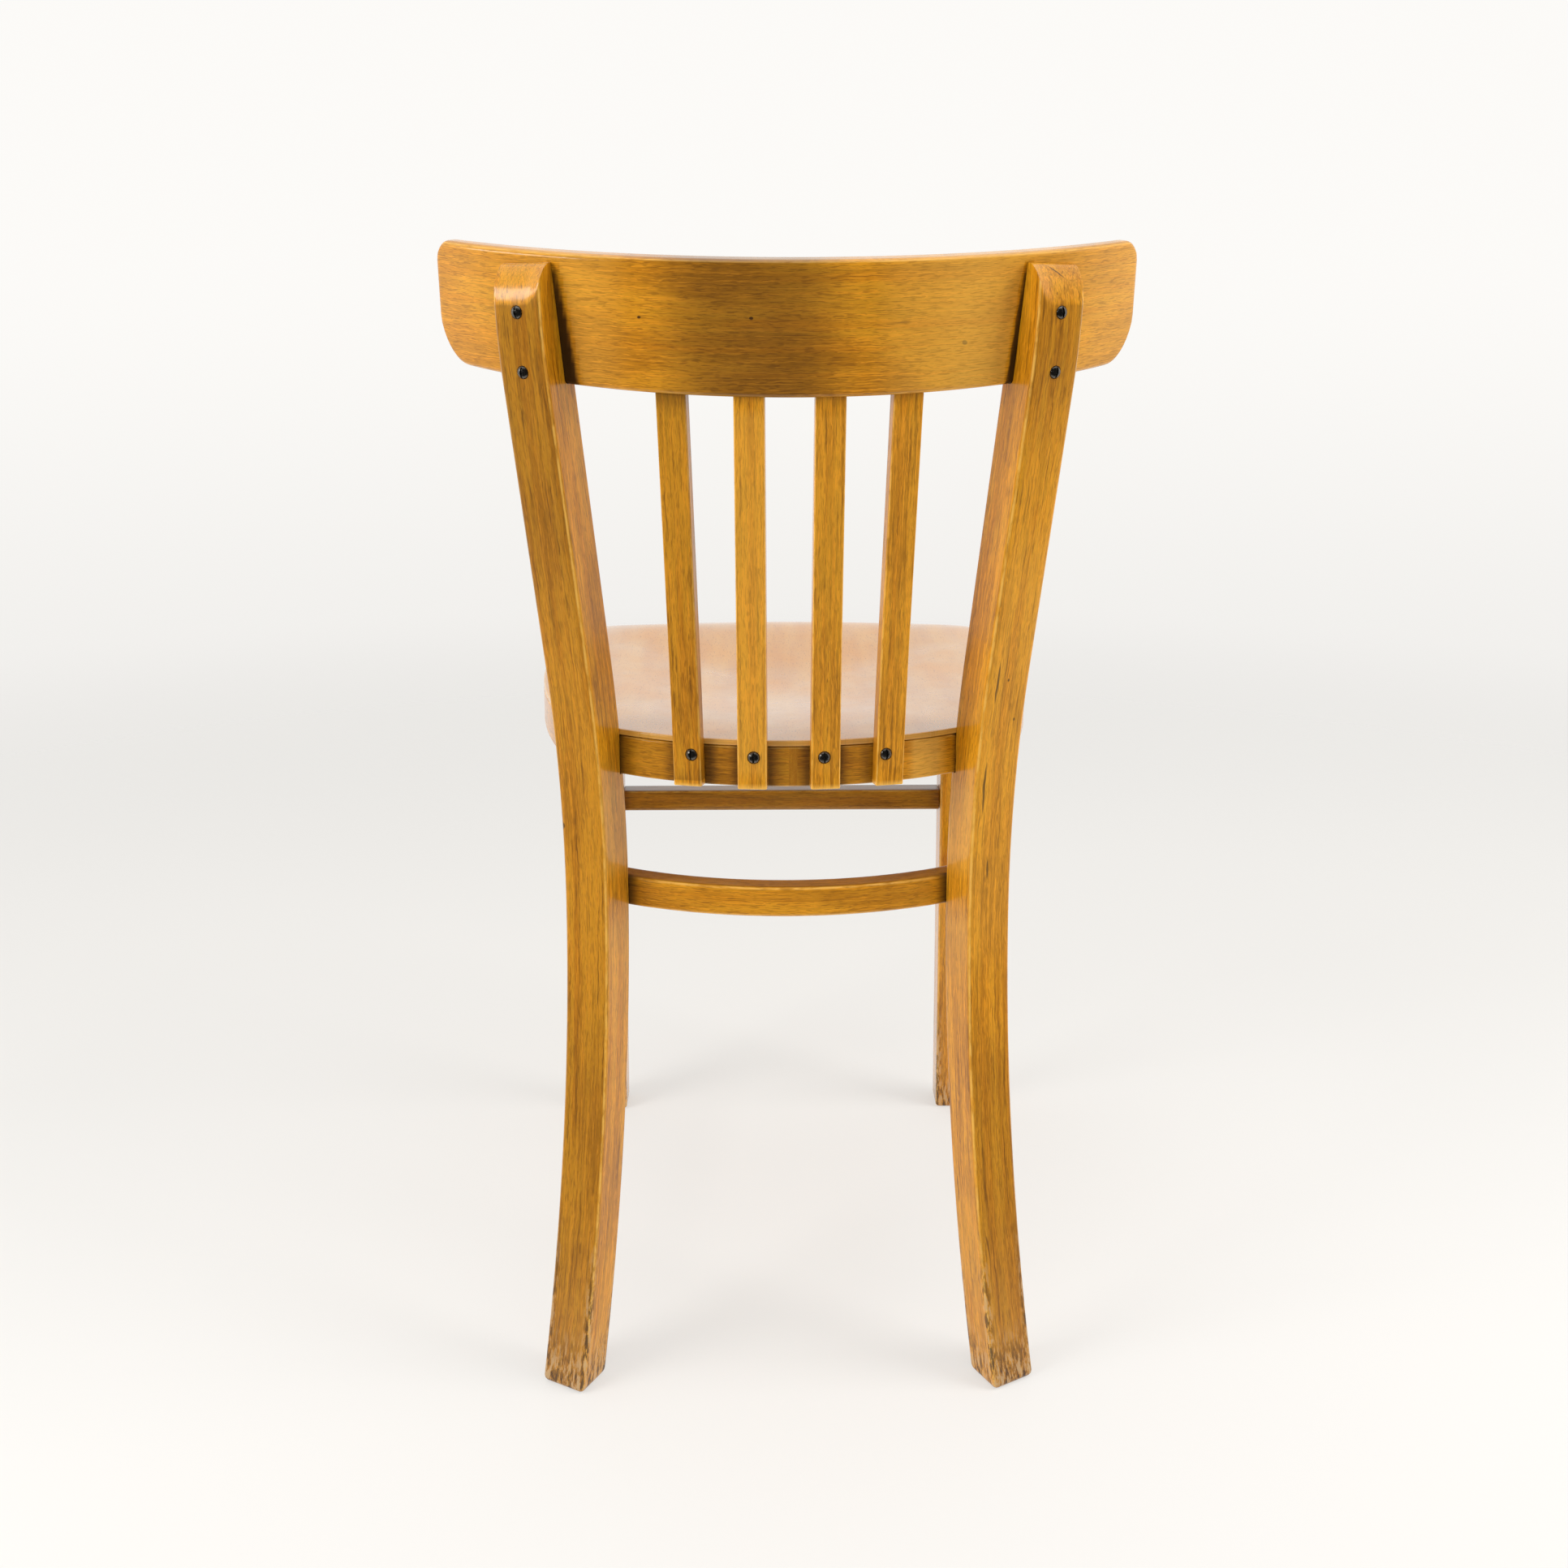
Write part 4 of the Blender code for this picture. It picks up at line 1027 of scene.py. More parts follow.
def slat_place(side, pair, height):
    """The middle of a slat at a height, and the angle that its face has turned."""
    foot, foot_out = ring_surface(SLAT_FOOT_X[pair])
    foot += foot_out * (SLAT_THICKNESS / 2.0 + GAP)
    middle_depth = SLAT_SETBACK + SLAT_THICKNESS / 2.0
    rail_angle = math.asin(SLAT_TOP_X[pair] / (RAIL_RADIUS - middle_depth))
    top = rail_point(rail_angle * RAIL_RADIUS, -RAIL_HEIGHT / 2.0, middle_depth)
    foot_angle = math.atan2(foot_out.x, foot_out.y)
    climb = (height - SLAT_FOOT_Z) / (slat_top_height() - SLAT_FOOT_Z)
    angle = foot_angle + (rail_angle - foot_angle) * climb
    x = foot.x + (top.x - foot.x) * climb
    y = foot.y + (top.y - foot.y) * slat_lean(height)
    return Vector((side * x, y, height)), side * angle


def build_slat(name, side, pair, edge, grow=0.0):
    """One bent slat. A grown one is the shape of its housing."""
    reach = slat_top_height() + SLAT_HOUSING + grow - SLAT_FOOT_Z
    places = [slat_place(side, pair, SLAT_FOOT_Z + reach * i / SLAT_STEPS) for i in range(SLAT_STEPS + 1)]
    return sweep(name, [point for point, angle in places],
                 [(math.sin(angle), math.cos(angle), 0.0) for point, angle in places],
                 SLAT_THICKNESS + 2.0 * grow, SLAT_WIDTH + 2.0 * grow, edge)


def slat_grain(side, pair, point):
    """Where a point lies in a slat's straight board, and how near an edge."""
    centre, angle = slat_place(side, pair, point.z)
    across = Vector((math.cos(angle), -math.sin(angle), 0.0)).dot(point - centre)
    depth = Vector((math.sin(angle), math.cos(angle), 0.0)).dot(point - centre)
    edge = edge_distance(SLAT_WIDTH / 2.0 - abs(across), SLAT_THICKNESS / 2.0 - abs(depth),
                         point.z - SLAT_FOOT_Z)
    return across, point.z, depth, edge


def slat_grime_and_shade(number, point):
    """Grime at a slat's foot, painted shadow under the rail, a chipped lower end, and each slat's own tone.
    """
    from_foot = point.z - SLAT_FOOT_Z
    if from_foot < 0.0012:
        return -0.7
    # Grime near the foot, and painted shadow just under the rail
    grime_and_shade = 0.25 * shade_and_grime_falloff(from_foot, 0.016) + 0.35 * shade_and_grime_falloff(slat_top_height() - point.z, 0.014)
    return darken(SLAT_TONES[number - 1], grime_and_shade)


# Front legs

def leg_middle(height):
    """The x and y of a front leg's middle at a height, and half its size there."""
    climb = height / RING_BOTTOM
    half = (LEG_FOOT_SIZE + (LEG_TOP_SIZE - LEG_FOOT_SIZE) * climb) / 2.0
    inner_x = LEG_FOOT_INNER_X + (LEG_TOP_INNER_X - LEG_FOOT_INNER_X) * climb
    rear_y = LEG_FOOT_REAR_Y + (LEG_TOP_REAR_Y - LEG_FOOT_REAR_Y) * climb
    return inner_x + half, rear_y - half, half


def leg_point(side, height, across_part, rear_part):
    """A point of a leg's section: the parts run from -1 to 1, across to the outside and to the rear."""
    x, y, half = leg_middle(height)
    return Vector((side * (x + half * across_part), y + half * rear_part, height))


def build_leg(name, side, edge):
    """One square, slightly splayed front leg that rises inside the seat ring."""
    rings = []
    for height, inset in rounded_run(0.0, LEG_TOP, LEG_FOOT_ROUNDING, 0.012):
        x, y, half = leg_middle(height)
        half -= inset
        rings.append([(side * (x + a), y + b, height) for a, b in section(-half, half, -half, half, edge)])
    return loft(name, rings)


def leg_grain(point):
    """Where a point lies in a front leg's board, and how near an edge."""
    x, y, half = leg_middle(point.z)
    a = abs(point.x) - x
    b = point.y - y
    return a, point.z, b, edge_distance(half - abs(a), half - abs(b), point.z)


# Stretchers

def rear_stretcher_point(angle, depth, height):
    """A point of the rear stretcher's bow: depth lies in front of its back face."""
    radius = REAR_STRETCHER_RADIUS - depth
    return Vector((radius * math.sin(angle),
                   REAR_STRETCHER_Y - REAR_STRETCHER_RADIUS + radius * math.cos(angle), height))


def build_rear_stretcher(name, edge, grow=0.0):
    """The bent rear stretcher, which laps on the front of both posts."""
    low, high = REAR_STRETCHER_Z
    end_angle = math.asin(REAR_STRETCHER_END_X / REAR_STRETCHER_RADIUS)
    half_run = REAR_STRETCHER_RADIUS * end_angle + grow
    rings = []
    for run, inset in rounded_run(-half_run, half_run, REAR_STRETCHER_ENDS, 0.006):
        shape = section(low - grow + inset, high + grow - inset, inset - grow,
                        REAR_STRETCHER_DEPTH + grow - inset, edge)
        angle = run / REAR_STRETCHER_RADIUS
        rings.append([rear_stretcher_point(angle, depth, height) for height, depth in shape])
    return loft(name, rings)


def rear_stretcher_grain(point):
    """Where a point lies in the rear stretcher's straight board, and how near an edge."""
    back = point.y - (REAR_STRETCHER_Y - REAR_STRETCHER_RADIUS)
    along = REAR_STRETCHER_RADIUS * math.atan2(point.x, back)
    depth = REAR_STRETCHER_RADIUS - math.hypot(point.x, back)
    low, high = REAR_STRETCHER_Z
    edge = edge_distance(min(point.z - low, high - point.z), min(depth, REAR_STRETCHER_DEPTH - depth), 1.0)
    return point.z, along, depth, edge


def rear_stretcher_tone_and_shade(point):
    """A darker top, and painted shadow beside the posts on the back face."""
    tone = 0.42 if point.z > REAR_STRETCHER_Z[1] - 0.0005 else 0.0
    beside = beside_post(point)
    if beside < -0.003 or rear_stretcher_grain(point)[2] > 0.003:
        return tone
    # Painted shadow in the gap beside each post
    return max(tone, 0.9 * shade_and_grime_falloff(beside, 0.010))


def straight_stretcher_ends(which):
    """Start, end, width, height and the two faces' normals of a straight stretcher."""
    if which == "front":
        middle = sum(FRONT_STRETCHER_Z) / 2.0
        inset = 1.0 - (2.0 * FRONT_STRETCHER_SETBACK + FRONT_STRETCHER_DEPTH) / LEG_TOP_SIZE
        face = Vector((1.0, 0.0, (LEG_FOOT_INNER_X - LEG_TOP_INNER_X) / RING_BOTTOM)).normalized()
        mirrored = face * Vector((-1.0, 1.0, 1.0))
        return (leg_point(-1, middle, -1.0, inset), leg_point(1, middle, -1.0, inset), FRONT_STRETCHER_DEPTH,
                FRONT_STRETCHER_Z[1] - FRONT_STRETCHER_Z[0], mirrored, face)
    side = 1 if which == "left" else -1
    middle = sum(SIDE_STRETCHER_Z) / 2.0
    face = Vector((0.0, 1.0, (LEG_FOOT_REAR_Y - LEG_TOP_REAR_Y) / RING_BOTTOM)).normalized()
    return (post_point(side, middle, 0.15, -1.0), leg_point(side, middle, 0.0, 1.0), SIDE_STRETCHER_WIDTH,
            SIDE_STRETCHER_Z[1] - SIDE_STRETCHER_Z[0], post_normal(side, middle), face)


def straight_stretcher_parts(which, edge, tenon_only=False):
    """Rings of a level bar with a tenon at each end, or of its tenons alone, grown into mortises."""
    start, end, width, height, start_normal, end_normal = straight_stretcher_ends(which)
    run = (end - start).normalized()
    across = Vector((run.y, -run.x, 0.0))

    def ring(shape, share, past):
        points = []
        for side_step, up_step in shape:
            base = start + across * side_step + Vector((0.0, 0.0, up_step))
            first = base + run * ((start - base).dot(start_normal) / run.dot(start_normal) - past)
            last = base + run * ((end - base).dot(end_normal) / run.dot(end_normal) + past)
            points.append(first.lerp(last, share))
        return points

    grow = GAP if tenon_only else 0.0
    half_tenon = TENON_WIDTH / 2.0 + grow
    half_cheek = height / 2.0 - TENON_SHOULDER + grow
    tenon = section(-half_tenon, half_tenon, -half_cheek, half_cheek, TENON_EDGE)
    tips = [ring(tenon, share, TENON_LENGTH + grow) for share in (0.0, 1.0)]
    if tenon_only:
        return tips
    rings = [tips[0], ring(tenon, 0.0, -GAP)]
    length = (end - start).length
    for place, inset in rounded_run(0.0, length, TENON_EDGE, 0.010, steps=2):
        wide = width / 2.0 - inset
        tall = height / 2.0 - inset
        rings.append(ring(section(-wide, wide, -tall, tall, edge), place / length, -GAP))
    return rings + [ring(tenon, 1.0, -GAP), tips[1]]


def mortise(which):
    """The room that a straight stretcher's tenons take up."""
    return loft("mortise", straight_stretcher_parts(which, 0.0, tenon_only=True))


def straight_stretcher_grain(which, point):
    """Where a point lies in a straight stretcher's board, and how near an edge."""
    start, end, width, height, start_normal, end_normal = straight_stretcher_ends(which)
    run = (end - start).normalized()
    a = (point - start).dot(Vector((run.y, -run.x, 0.0)))
    b = point.z - start.z
    return a, (point - start).dot(run), b, edge_distance(width / 2.0 - abs(a), height / 2.0 - abs(b), 1.0)


def straight_stretcher_tone_and_shade(which, point):
    """The front stretcher is darker, partly older varnish and partly painted shade under the seat, and most
    on its top.
    """
    if which != "front":
        return 0.15
    # Older varnish and painted shade under the seat, darker still on the top face
    return 0.53 + 0.17 * (point.z > FRONT_STRETCHER_Z[1] - 0.0005)


# Screws

Screw = namedtuple("Screw", "group node length point outward turn through")


def build_screw(name, length, head_radius, slot_width=0.0, slot_depth=0.0, grow=0.0):
    """A round-head wood screw along -Z, its head's underside at the origin. A grown one is its hole."""
    head = head_radius + grow
    shank = SHANK_RADIUS + grow
    rise = HEAD_HEIGHT + grow
    angles = [math.radians(84.0) * i / 7 for i in range(1, 8)]
    profile = [(head * math.sin(t), rise * math.cos(t)) for t in angles]
    profile += [(head, rise * 0.06), (head, -grow), (shank, -grow - 0.0001)]
    if grow == 0.0:
        for i in range(round((length - SCREW_POINT - THREAD_START) / THREAD_PITCH)):
            z = -THREAD_START - THREAD_PITCH * i
            profile += [(shank * THREAD_ROOT, z), (shank, z - 0.0005), (shank * THREAD_ROOT, z - 0.0010)]
    profile += [(shank, SCREW_POINT - length), (shank * 0.1, -length - grow)]
    turns = [2.0 * math.pi * i / SCREW_SEGMENTS for i in range(SCREW_SEGMENTS)]
    screw = loft(name, [[(radius * math.cos(t), radius * math.sin(t), z) for t in turns]
                        for radius, z in profile])
    if grow == 0.0:
        half = slot_width / 2.0
        floor = HEAD_HEIGHT - slot_depth
        above = HEAD_HEIGHT * 2.0
        reach = head_radius * 1.5
        slot = [[(-half, y, floor), (half, y, floor), (half, y, above), (-half, y, above)]
                for y in (-reach, reach)]
        carve(screw, [loft(name + "_slot", slot)])
    return screw


def screw_places():
    """Every screw: its group, node and length, where its head sits and points, and what it goes through."""
    places = []
    for side, word in SIDES:
        post = "rear_post_" + word
        leg = "front_leg_" + word
        for height, level, turn in zip(RAIL_SCREW_Z, ("upper", "lower"), (0.1, -0.1)):
            places.append(Screw("rail_screws", f"rail_screw_{word}_{level}", RAIL_SCREW_LENGTH,
                                post_point(side, height, 0.0, 1.0), post_normal(side, height), turn,
                                (post, "top_rail")))
        for height, level in zip(RING_SCREW_Z, ("upper", "lower")):
            target = post_point(side, height, 0.0, -1.0)
            inner, inner_out = ring_surface(abs(target.x) - RING_WIDTH * math.sin(POST_TURN), -RING_WIDTH)
            places.append(Screw("ring_screws", f"ring_screw_{word}_{level}", RING_SCREW_LENGTH,
                                Vector((side * inner.x, inner.y, height)),
                                Vector((-side * inner_out.x, -inner_out.y, 0.0)), 0.4, (post, "seat_ring")))
        places.append(Screw("leg_screws", f"leg_screw_{word}_side", LEG_SCREW_LENGTH,
                            leg_point(side, LEG_SCREW_Z[0], -1.0, 0.1), Vector((-side, 0.0, 0.0)), 0.3,
                            (leg, "seat_ring")))
        places.append(Screw("leg_screws", f"leg_screw_{word}_front", LEG_SCREW_LENGTH,
                            leg_point(side, LEG_SCREW_Z[1], -0.15, 1.0), Vector((0.0, 1.0, 0.0)), 0.8,
                            (leg, "seat_ring")))
        lap = post_point(side, sum(REAR_STRETCHER_Z) / 2.0, 0.0, -1.0)
        angle = side * math.asin(abs(lap.x) / REAR_STRETCHER_RADIUS)
        places.append(Screw("stretcher_screws", f"stretcher_screw_{word}", STRETCHER_SCREW_LENGTH,
                            rear_stretcher_point(angle, REAR_STRETCHER_DEPTH, lap.z),
                            Vector((-math.sin(angle), -math.cos(angle), 0.0)), 0.2, (post, "rear_stretcher")))
    for number, (side, pair) in enumerate(SLATS, start=1):
        surface, out = ring_surface(SLAT_FOOT_X[pair], SLAT_THICKNESS + GAP)
        places.append(Screw("slat_screws", f"slat_screw_{number}", SLAT_SCREW_LENGTH,
                            Vector((side * surface.x, surface.y, SLAT_SCREW_Z)),
                            Vector((side * out.x, out.y, 0.0)), 0.0, (f"back_slat_{number}", "seat_ring")))
    return places


def screw_seat(screw):
    """Where a screw's head is let in to, and the turn that points it outwards."""
    outward = screw.outward.normalized()
    return screw.point - outward * HEAD_SINK, outward.to_track_quat("Z", "Y").to_matrix()


def screw_holes(piece, sizes):
    """The holes that the screws need in one piece."""
    holes = []
    for screw in screw_places():
        if piece in screw.through:
            hole = build_screw(screw.node + "_hole", screw.length, sizes.head_radius, grow=GAP)
            seat, facing = screw_seat(screw)
            hole.data.transform(Matrix.Translation(seat) @ facing.to_4x4())
            holes.append(hole)
    return holes


# Settings

def a_colour(name, description, default):
    """A colour that the user can change."""
    return bpy.props.FloatVectorProperty(name=name, description=description, subtype="COLOR", size=3,
                                         min=0.0, max=1.0, default=default)


def a_share(name, description, default):
    """A share from 0 to 1 that the user can change."""
    return bpy.props.FloatProperty(name=name, description=description, subtype="FACTOR", min=0.0, max=1.0,
                                   default=default)


def a_length(name, description, low, high, default):
    """A length that the user can change within limits."""
    return bpy.props.FloatProperty(name=name, description=description, subtype="DISTANCE", unit="LENGTH",
                                   min=low, max=high, default=default)


class BistroWoodLooks(bpy.types.PropertyGroup):
    """Colours and varnish of the chair."""
    beech_light: a_colour("Beech, light", "The beech between its darker bands", (0.680, 0.298, 0.010))
    beech_deep: a_colour("Beech, deep", "The darker bands of the beech", (0.460, 0.180, 0.003))
    beech_orange: a_colour("Beech, orange", "Warm patches where the stain took more", (0.640, 0.235, 0.004))
    beech_olive: a_colour("Beech, olive", "Cooler patches where the varnish has gone greenish",
                                (0.420, 0.200, 0.006))
    # Also the colour of painted highlights on the edges and of painted light on the paler stretches
    beech_pale_and_light: a_colour("Beech, pale", "Faded wood and rubbed edges", (0.860, 0.480, 0.090))
    beech_gold: a_colour("Beech, gold", "Fine light streaks and lines along the grain", (0.830, 0.330, 0.012))
    beech_fleck: a_colour("Beech flecks", "The short brown flecks along the grain", (0.170, 0.060, 0.002))
    # Also the colour of the painted shade laid over the wood, besides aged wood, knots and glue lines
    beech_dark_and_shade: a_colour("Beech, aged and shaded", "Wood that has gone dark with age", (0.026, 0.010, 0.002))
    beech_bare: a_colour("Beech, bare", "Dry wood where the varnish is gone", (0.520, 0.360, 0.190))
    ply_light: a_colour("Seat veneer, light", "The seat's veneer between its bands", (0.560, 0.270, 0.045))
    ply_deep: a_colour("Seat veneer, deep", "The darker bands of the seat's veneer", (0.470, 0.195, 0.024))
    screw_black: a_colour("Screws", "The blackened steel of the screws", (0.135, 0.128, 0.115))
    screw_worn: a_colour("Screws, rubbed", "Where the screws have been rubbed brighter", (0.32, 0.30, 0.28))
    varnish_weight: a_share("Varnish", "How fully the varnish covers the wood", 0.9)
    varnish_roughness: a_share("Varnish roughness", "Roughness of the varnish on the solid wood", 0.15)
    seat_roughness: a_share("Seat roughness", "Roughness of the varnish on the seat", 0.10)


class BistroSizes(bpy.types.PropertyGroup):
    """Sizes of the chair that can be changed without changing how it fits together."""
    post_edge: a_length("Post edge", "Rounding of the rear posts' long edges", 0.0005, 0.008, 0.0025)
    rail_edge: a_length("Rail edge", "Rounding of the top rail's edges", 0.0005, 0.006, 0.0040)
    ring_edge: a_length("Ring edge", "Rounding of the seat ring's edges", 0.0003, 0.006, 0.0018)
    slat_edge: a_length("Slat edge", "Rounding of the slats' edges", 0.0003, 0.003, 0.0014)
    leg_edge: a_length("Leg edge", "Rounding of the front legs' long edges", 0.0005, 0.006, 0.0025)
    stretcher_edge: a_length("Stretcher edge", "Rounding of the stretchers' long edges",
                             0.0005, 0.006, 0.0028)
    panel_edge: a_length("Seat edge", "Rounding of the seat panel's rim", 0.0003, 0.002, 0.0013)
    panel_dish: a_length("Seat dish", "How deep the seat is dished", 0.0, 0.012, PANEL_DISH)
    head_radius: a_length("Screw head radius", "Radius of the screw heads", 0.003, 0.0045, 0.0041)
    slot_width: a_length("Screw slot width", "Width of the slots in the screw heads", 0.0005, 0.002, 0.0012)
    slot_depth: a_length("Screw slot depth", "Depth of the slots in the screw heads", 0.0003, 0.002, 0.0014)


class BistroStage(bpy.types.PropertyGroup):
    """The floor, the light and the camera."""
    floor_colour: a_colour("Floor", "Colour of the floor", (0.78, 0.77, 0.75))
    background: a_colour("Background", "Colour behind the chair, high up, and of the near floor",
                               (0.975, 0.96, 0.935))
    background_low: a_colour("Background, low", "Colour behind the chair, low down, and of the far floor",
                                   (0.875, 0.86, 0.835))
    fill: bpy.props.FloatProperty(
        name="Fill light", description="Strength of the light from all round",
        min=0.0, max=2.0, default=0.62)
    side_lamps: bpy.props.FloatProperty(
        name="Side lamps", description="Power that the lamps' shares are taken from",
        subtype="POWER", unit="POWER", min=0.0, max=500.0, default=30.0)
    lens: bpy.props.FloatProperty(
        name="Lens", description="Focal length in millimetres on a 36 mm sensor",
        min=10.0, max=200.0, default=36.34)


# Operators

class BISTRO_OT_posts(bpy.types.Operator):
    """Build the two bent rear posts with their housings"""
    bl_idname = "bistro.posts"
    bl_label = "Rear posts"

    def execute(self, context):
        sizes = context.scene.bistro_sizes
        for board, (side, word) in enumerate(SIDES, start=1):
            node = "rear_post_" + word
            post = build_post(node + "_wood", side, sizes.post_edge)
            housings = [build_rail("rail_housing", sizes.rail_edge, GAP), seat_housing(),
                        build_rear_stretcher("stretcher_housing", sizes.stretcher_edge, GAP), mortise(word)]
            carve(post, housings + screw_holes(node, sizes))
            dress_beech(post, node, partial(post_grain, side), sizes.post_edge, 0.15, board,
                        partial(post_tone_and_shade, side))
        return {"FINISHED"}


class BISTRO_OT_rail(bpy.types.Operator):
    """Build the bent top rail with the housings of its slats"""
    bl_idname = "bistro.rail"
    bl_label = "Top rail"

    def execute(self, context):
        sizes = context.scene.bistro_sizes
        rail = build_rail("top_rail_wood", sizes.rail_edge)
        housings = [build_slat("slat_housing", side, pair, sizes.slat_edge, GAP) for side, pair in SLATS]
        carve(rail, housings + screw_holes("top_rail", sizes))
        dress_beech(rail, "top_rail", rail_grain, 0.7 * sizes.rail_edge, 1.0, 3, rail_tone_and_shade)
        return {"FINISHED"}


class BISTRO_OT_seat_ring(bpy.types.Operator):
    """Sweep the bent seat ring round the seat"""
    bl_idname = "bistro.seat_ring"
    bl_label = "Seat ring"

    def execute(self, context):
        sizes = context.scene.bistro_sizes
        path = seat_path(RING_SPACING)
        middle = (RING_BOTTOM + RING_TOP) / 2.0
        half = RING_WIDTH / 2.0
        points = [(x - nx * half, y - ny * half, middle) for x, y, nx, ny, run in path]
        facings = [(nx, ny, 0.0) for x, y, nx, ny, run in path]
        ring = sweep("seat_ring_wood", points, facings, RING_WIDTH, RING_TOP - RING_BOTTOM, sizes.ring_edge,
                     endless=True)
        carve(ring, screw_holes("seat_ring", sizes))
        dress_beech(ring, "seat_ring", partial(ring_grain, path), sizes.ring_edge, 1.0, 4,
                    partial(ring_tone_and_shade, path))
        return {"FINISHED"}


class BISTRO_OT_seat_panel(bpy.types.Operator):
    """Mould the dished plywood seat"""
    bl_idname = "bistro.seat_panel"
    bl_label = "Seat panel"

    def execute(self, context):
        sizes = context.scene.bistro_sizes
        path = seat_path(PANEL_SPACING)
        centre = panel_centre(path)
        panel = build_panel("seat_panel_ply", path, centre, sizes.panel_edge, sizes.panel_dish)
        dress(panel, make_seat_ply(), ["seat_panel"], "seat_ply",
              partial(panel_grain, path, centre, sizes.panel_dish), sizes.panel_edge)
        return {"FINISHED"}


class BISTRO_OT_slats(bpy.types.Operator):
    """Sweep the four bent back slats"""
    bl_idname = "bistro.slats"
    bl_label = "Back slats"

    def execute(self, context):
        sizes = context.scene.bistro_sizes
        for number, (side, pair) in enumerate(SLATS, start=1):
            node = f"back_slat_{number}"
            slat = build_slat(node + "_wood", side, pair, sizes.slat_edge)
            bevel = slat.modifiers.new("End edges", "BEVEL")
            bevel.width = SLAT_END_BEVEL
            bevel.segments = 2
            bevel.limit_method = "ANGLE"
            bevel.angle_limit = math.radians(60.0)
            apply_modifiers(slat)
            carve(slat, [seat_housing()] + screw_holes(node, sizes))
            dress_beech(slat, node, partial(slat_grain, side, pair), sizes.slat_edge, 0.2, 4 + number,
                        partial(slat_grime_and_shade, number))
        return {"FINISHED"}


class BISTRO_OT_legs(bpy.types.Operator):
    """Build the two square front legs"""
    bl_idname = "bistro.legs"
    bl_label = "Front legs"

    def execute(self, context):
        sizes = context.scene.bistro_sizes
        low = RING_BOTTOM - GAP
        for board, (side, word) in enumerate(SIDES, start=9):
            node = "front_leg_" + word
            leg = build_leg(node + "_wood", side, sizes.leg_edge)
            edges = zip(seat_outline(0.05), seat_outline(-RING_WIDTH - GAP))
            ring_room = loft("ring_room", [[(*a, low), (*a, SEAT_TOP), (*b, SEAT_TOP), (*b, low)]
                                           for a, b in edges], endless=True)
            carve(leg, [ring_room, mortise("front"), mortise(word)] + screw_holes(node, sizes))
            dress_beech(leg, node, leg_grain, sizes.leg_edge, 0.15, board)
        return {"FINISHED"}


class BISTRO_OT_stretchers(bpy.types.Operator):
    """Build the bent rear stretcher and the three straight ones"""
    bl_idname = "bistro.stretchers"
    bl_label = "Stretchers"

    def execute(self, context):
        sizes = context.scene.bistro_sizes
        rear = build_rear_stretcher("rear_stretcher_wood", sizes.stretcher_edge)
        carve(rear, screw_holes("rear_stretcher", sizes))
        dress_beech(rear, "rear_stretcher", rear_stretcher_grain, sizes.stretcher_edge, 0.8, 11,
                    rear_stretcher_tone_and_shade)
        names = {"front": "front_stretcher", "left": "side_stretcher_left", "right": "side_stretcher_right"}
        for board, (which, node) in enumerate(names.items(), start=12):
            bar = loft(node + "_wood", straight_stretcher_parts(which, sizes.stretcher_edge))
            dress_beech(bar, node, partial(straight_stretcher_grain, which), sizes.stretcher_edge, 0.3, board,
                        partial(straight_stretcher_tone_and_shade, which))
        return {"FINISHED"}


class BISTRO_OT_screws(bpy.types.Operator):
    """Drive the screws, one group for each joint"""
    bl_idname = "bistro.screws"
    bl_label = "Screws"

    def execute(self, context):
        sizes = context.scene.bistro_sizes
        steel = make_black_steel()
        groups = {}
        for screw in screw_places():
            groups.setdefault(screw.group, []).append(screw)
        for group, screws in groups.items():
            pattern = build_screw(group + "_pattern", screws[0].length, sizes.head_radius, sizes.slot_width,
                                  sizes.slot_depth)
            points = []
            aims = []
            for screw in screws:
                seat, facing = screw_seat(screw)
                points.append(seat)
                aims.append((facing @ Matrix.Rotation(screw.turn, 3, "Z")).to_euler())
            values = {"Screw": pattern, "Screw size": 1.0, "Material": steel}
            driven = run_tree(group + "_steel", screw_tree(), values, points, [], ("aim", aims))
            discard(pattern)
            dress(driven, steel, [screw.node for screw in screws], "black_screws")
        return {"FINISHED"}


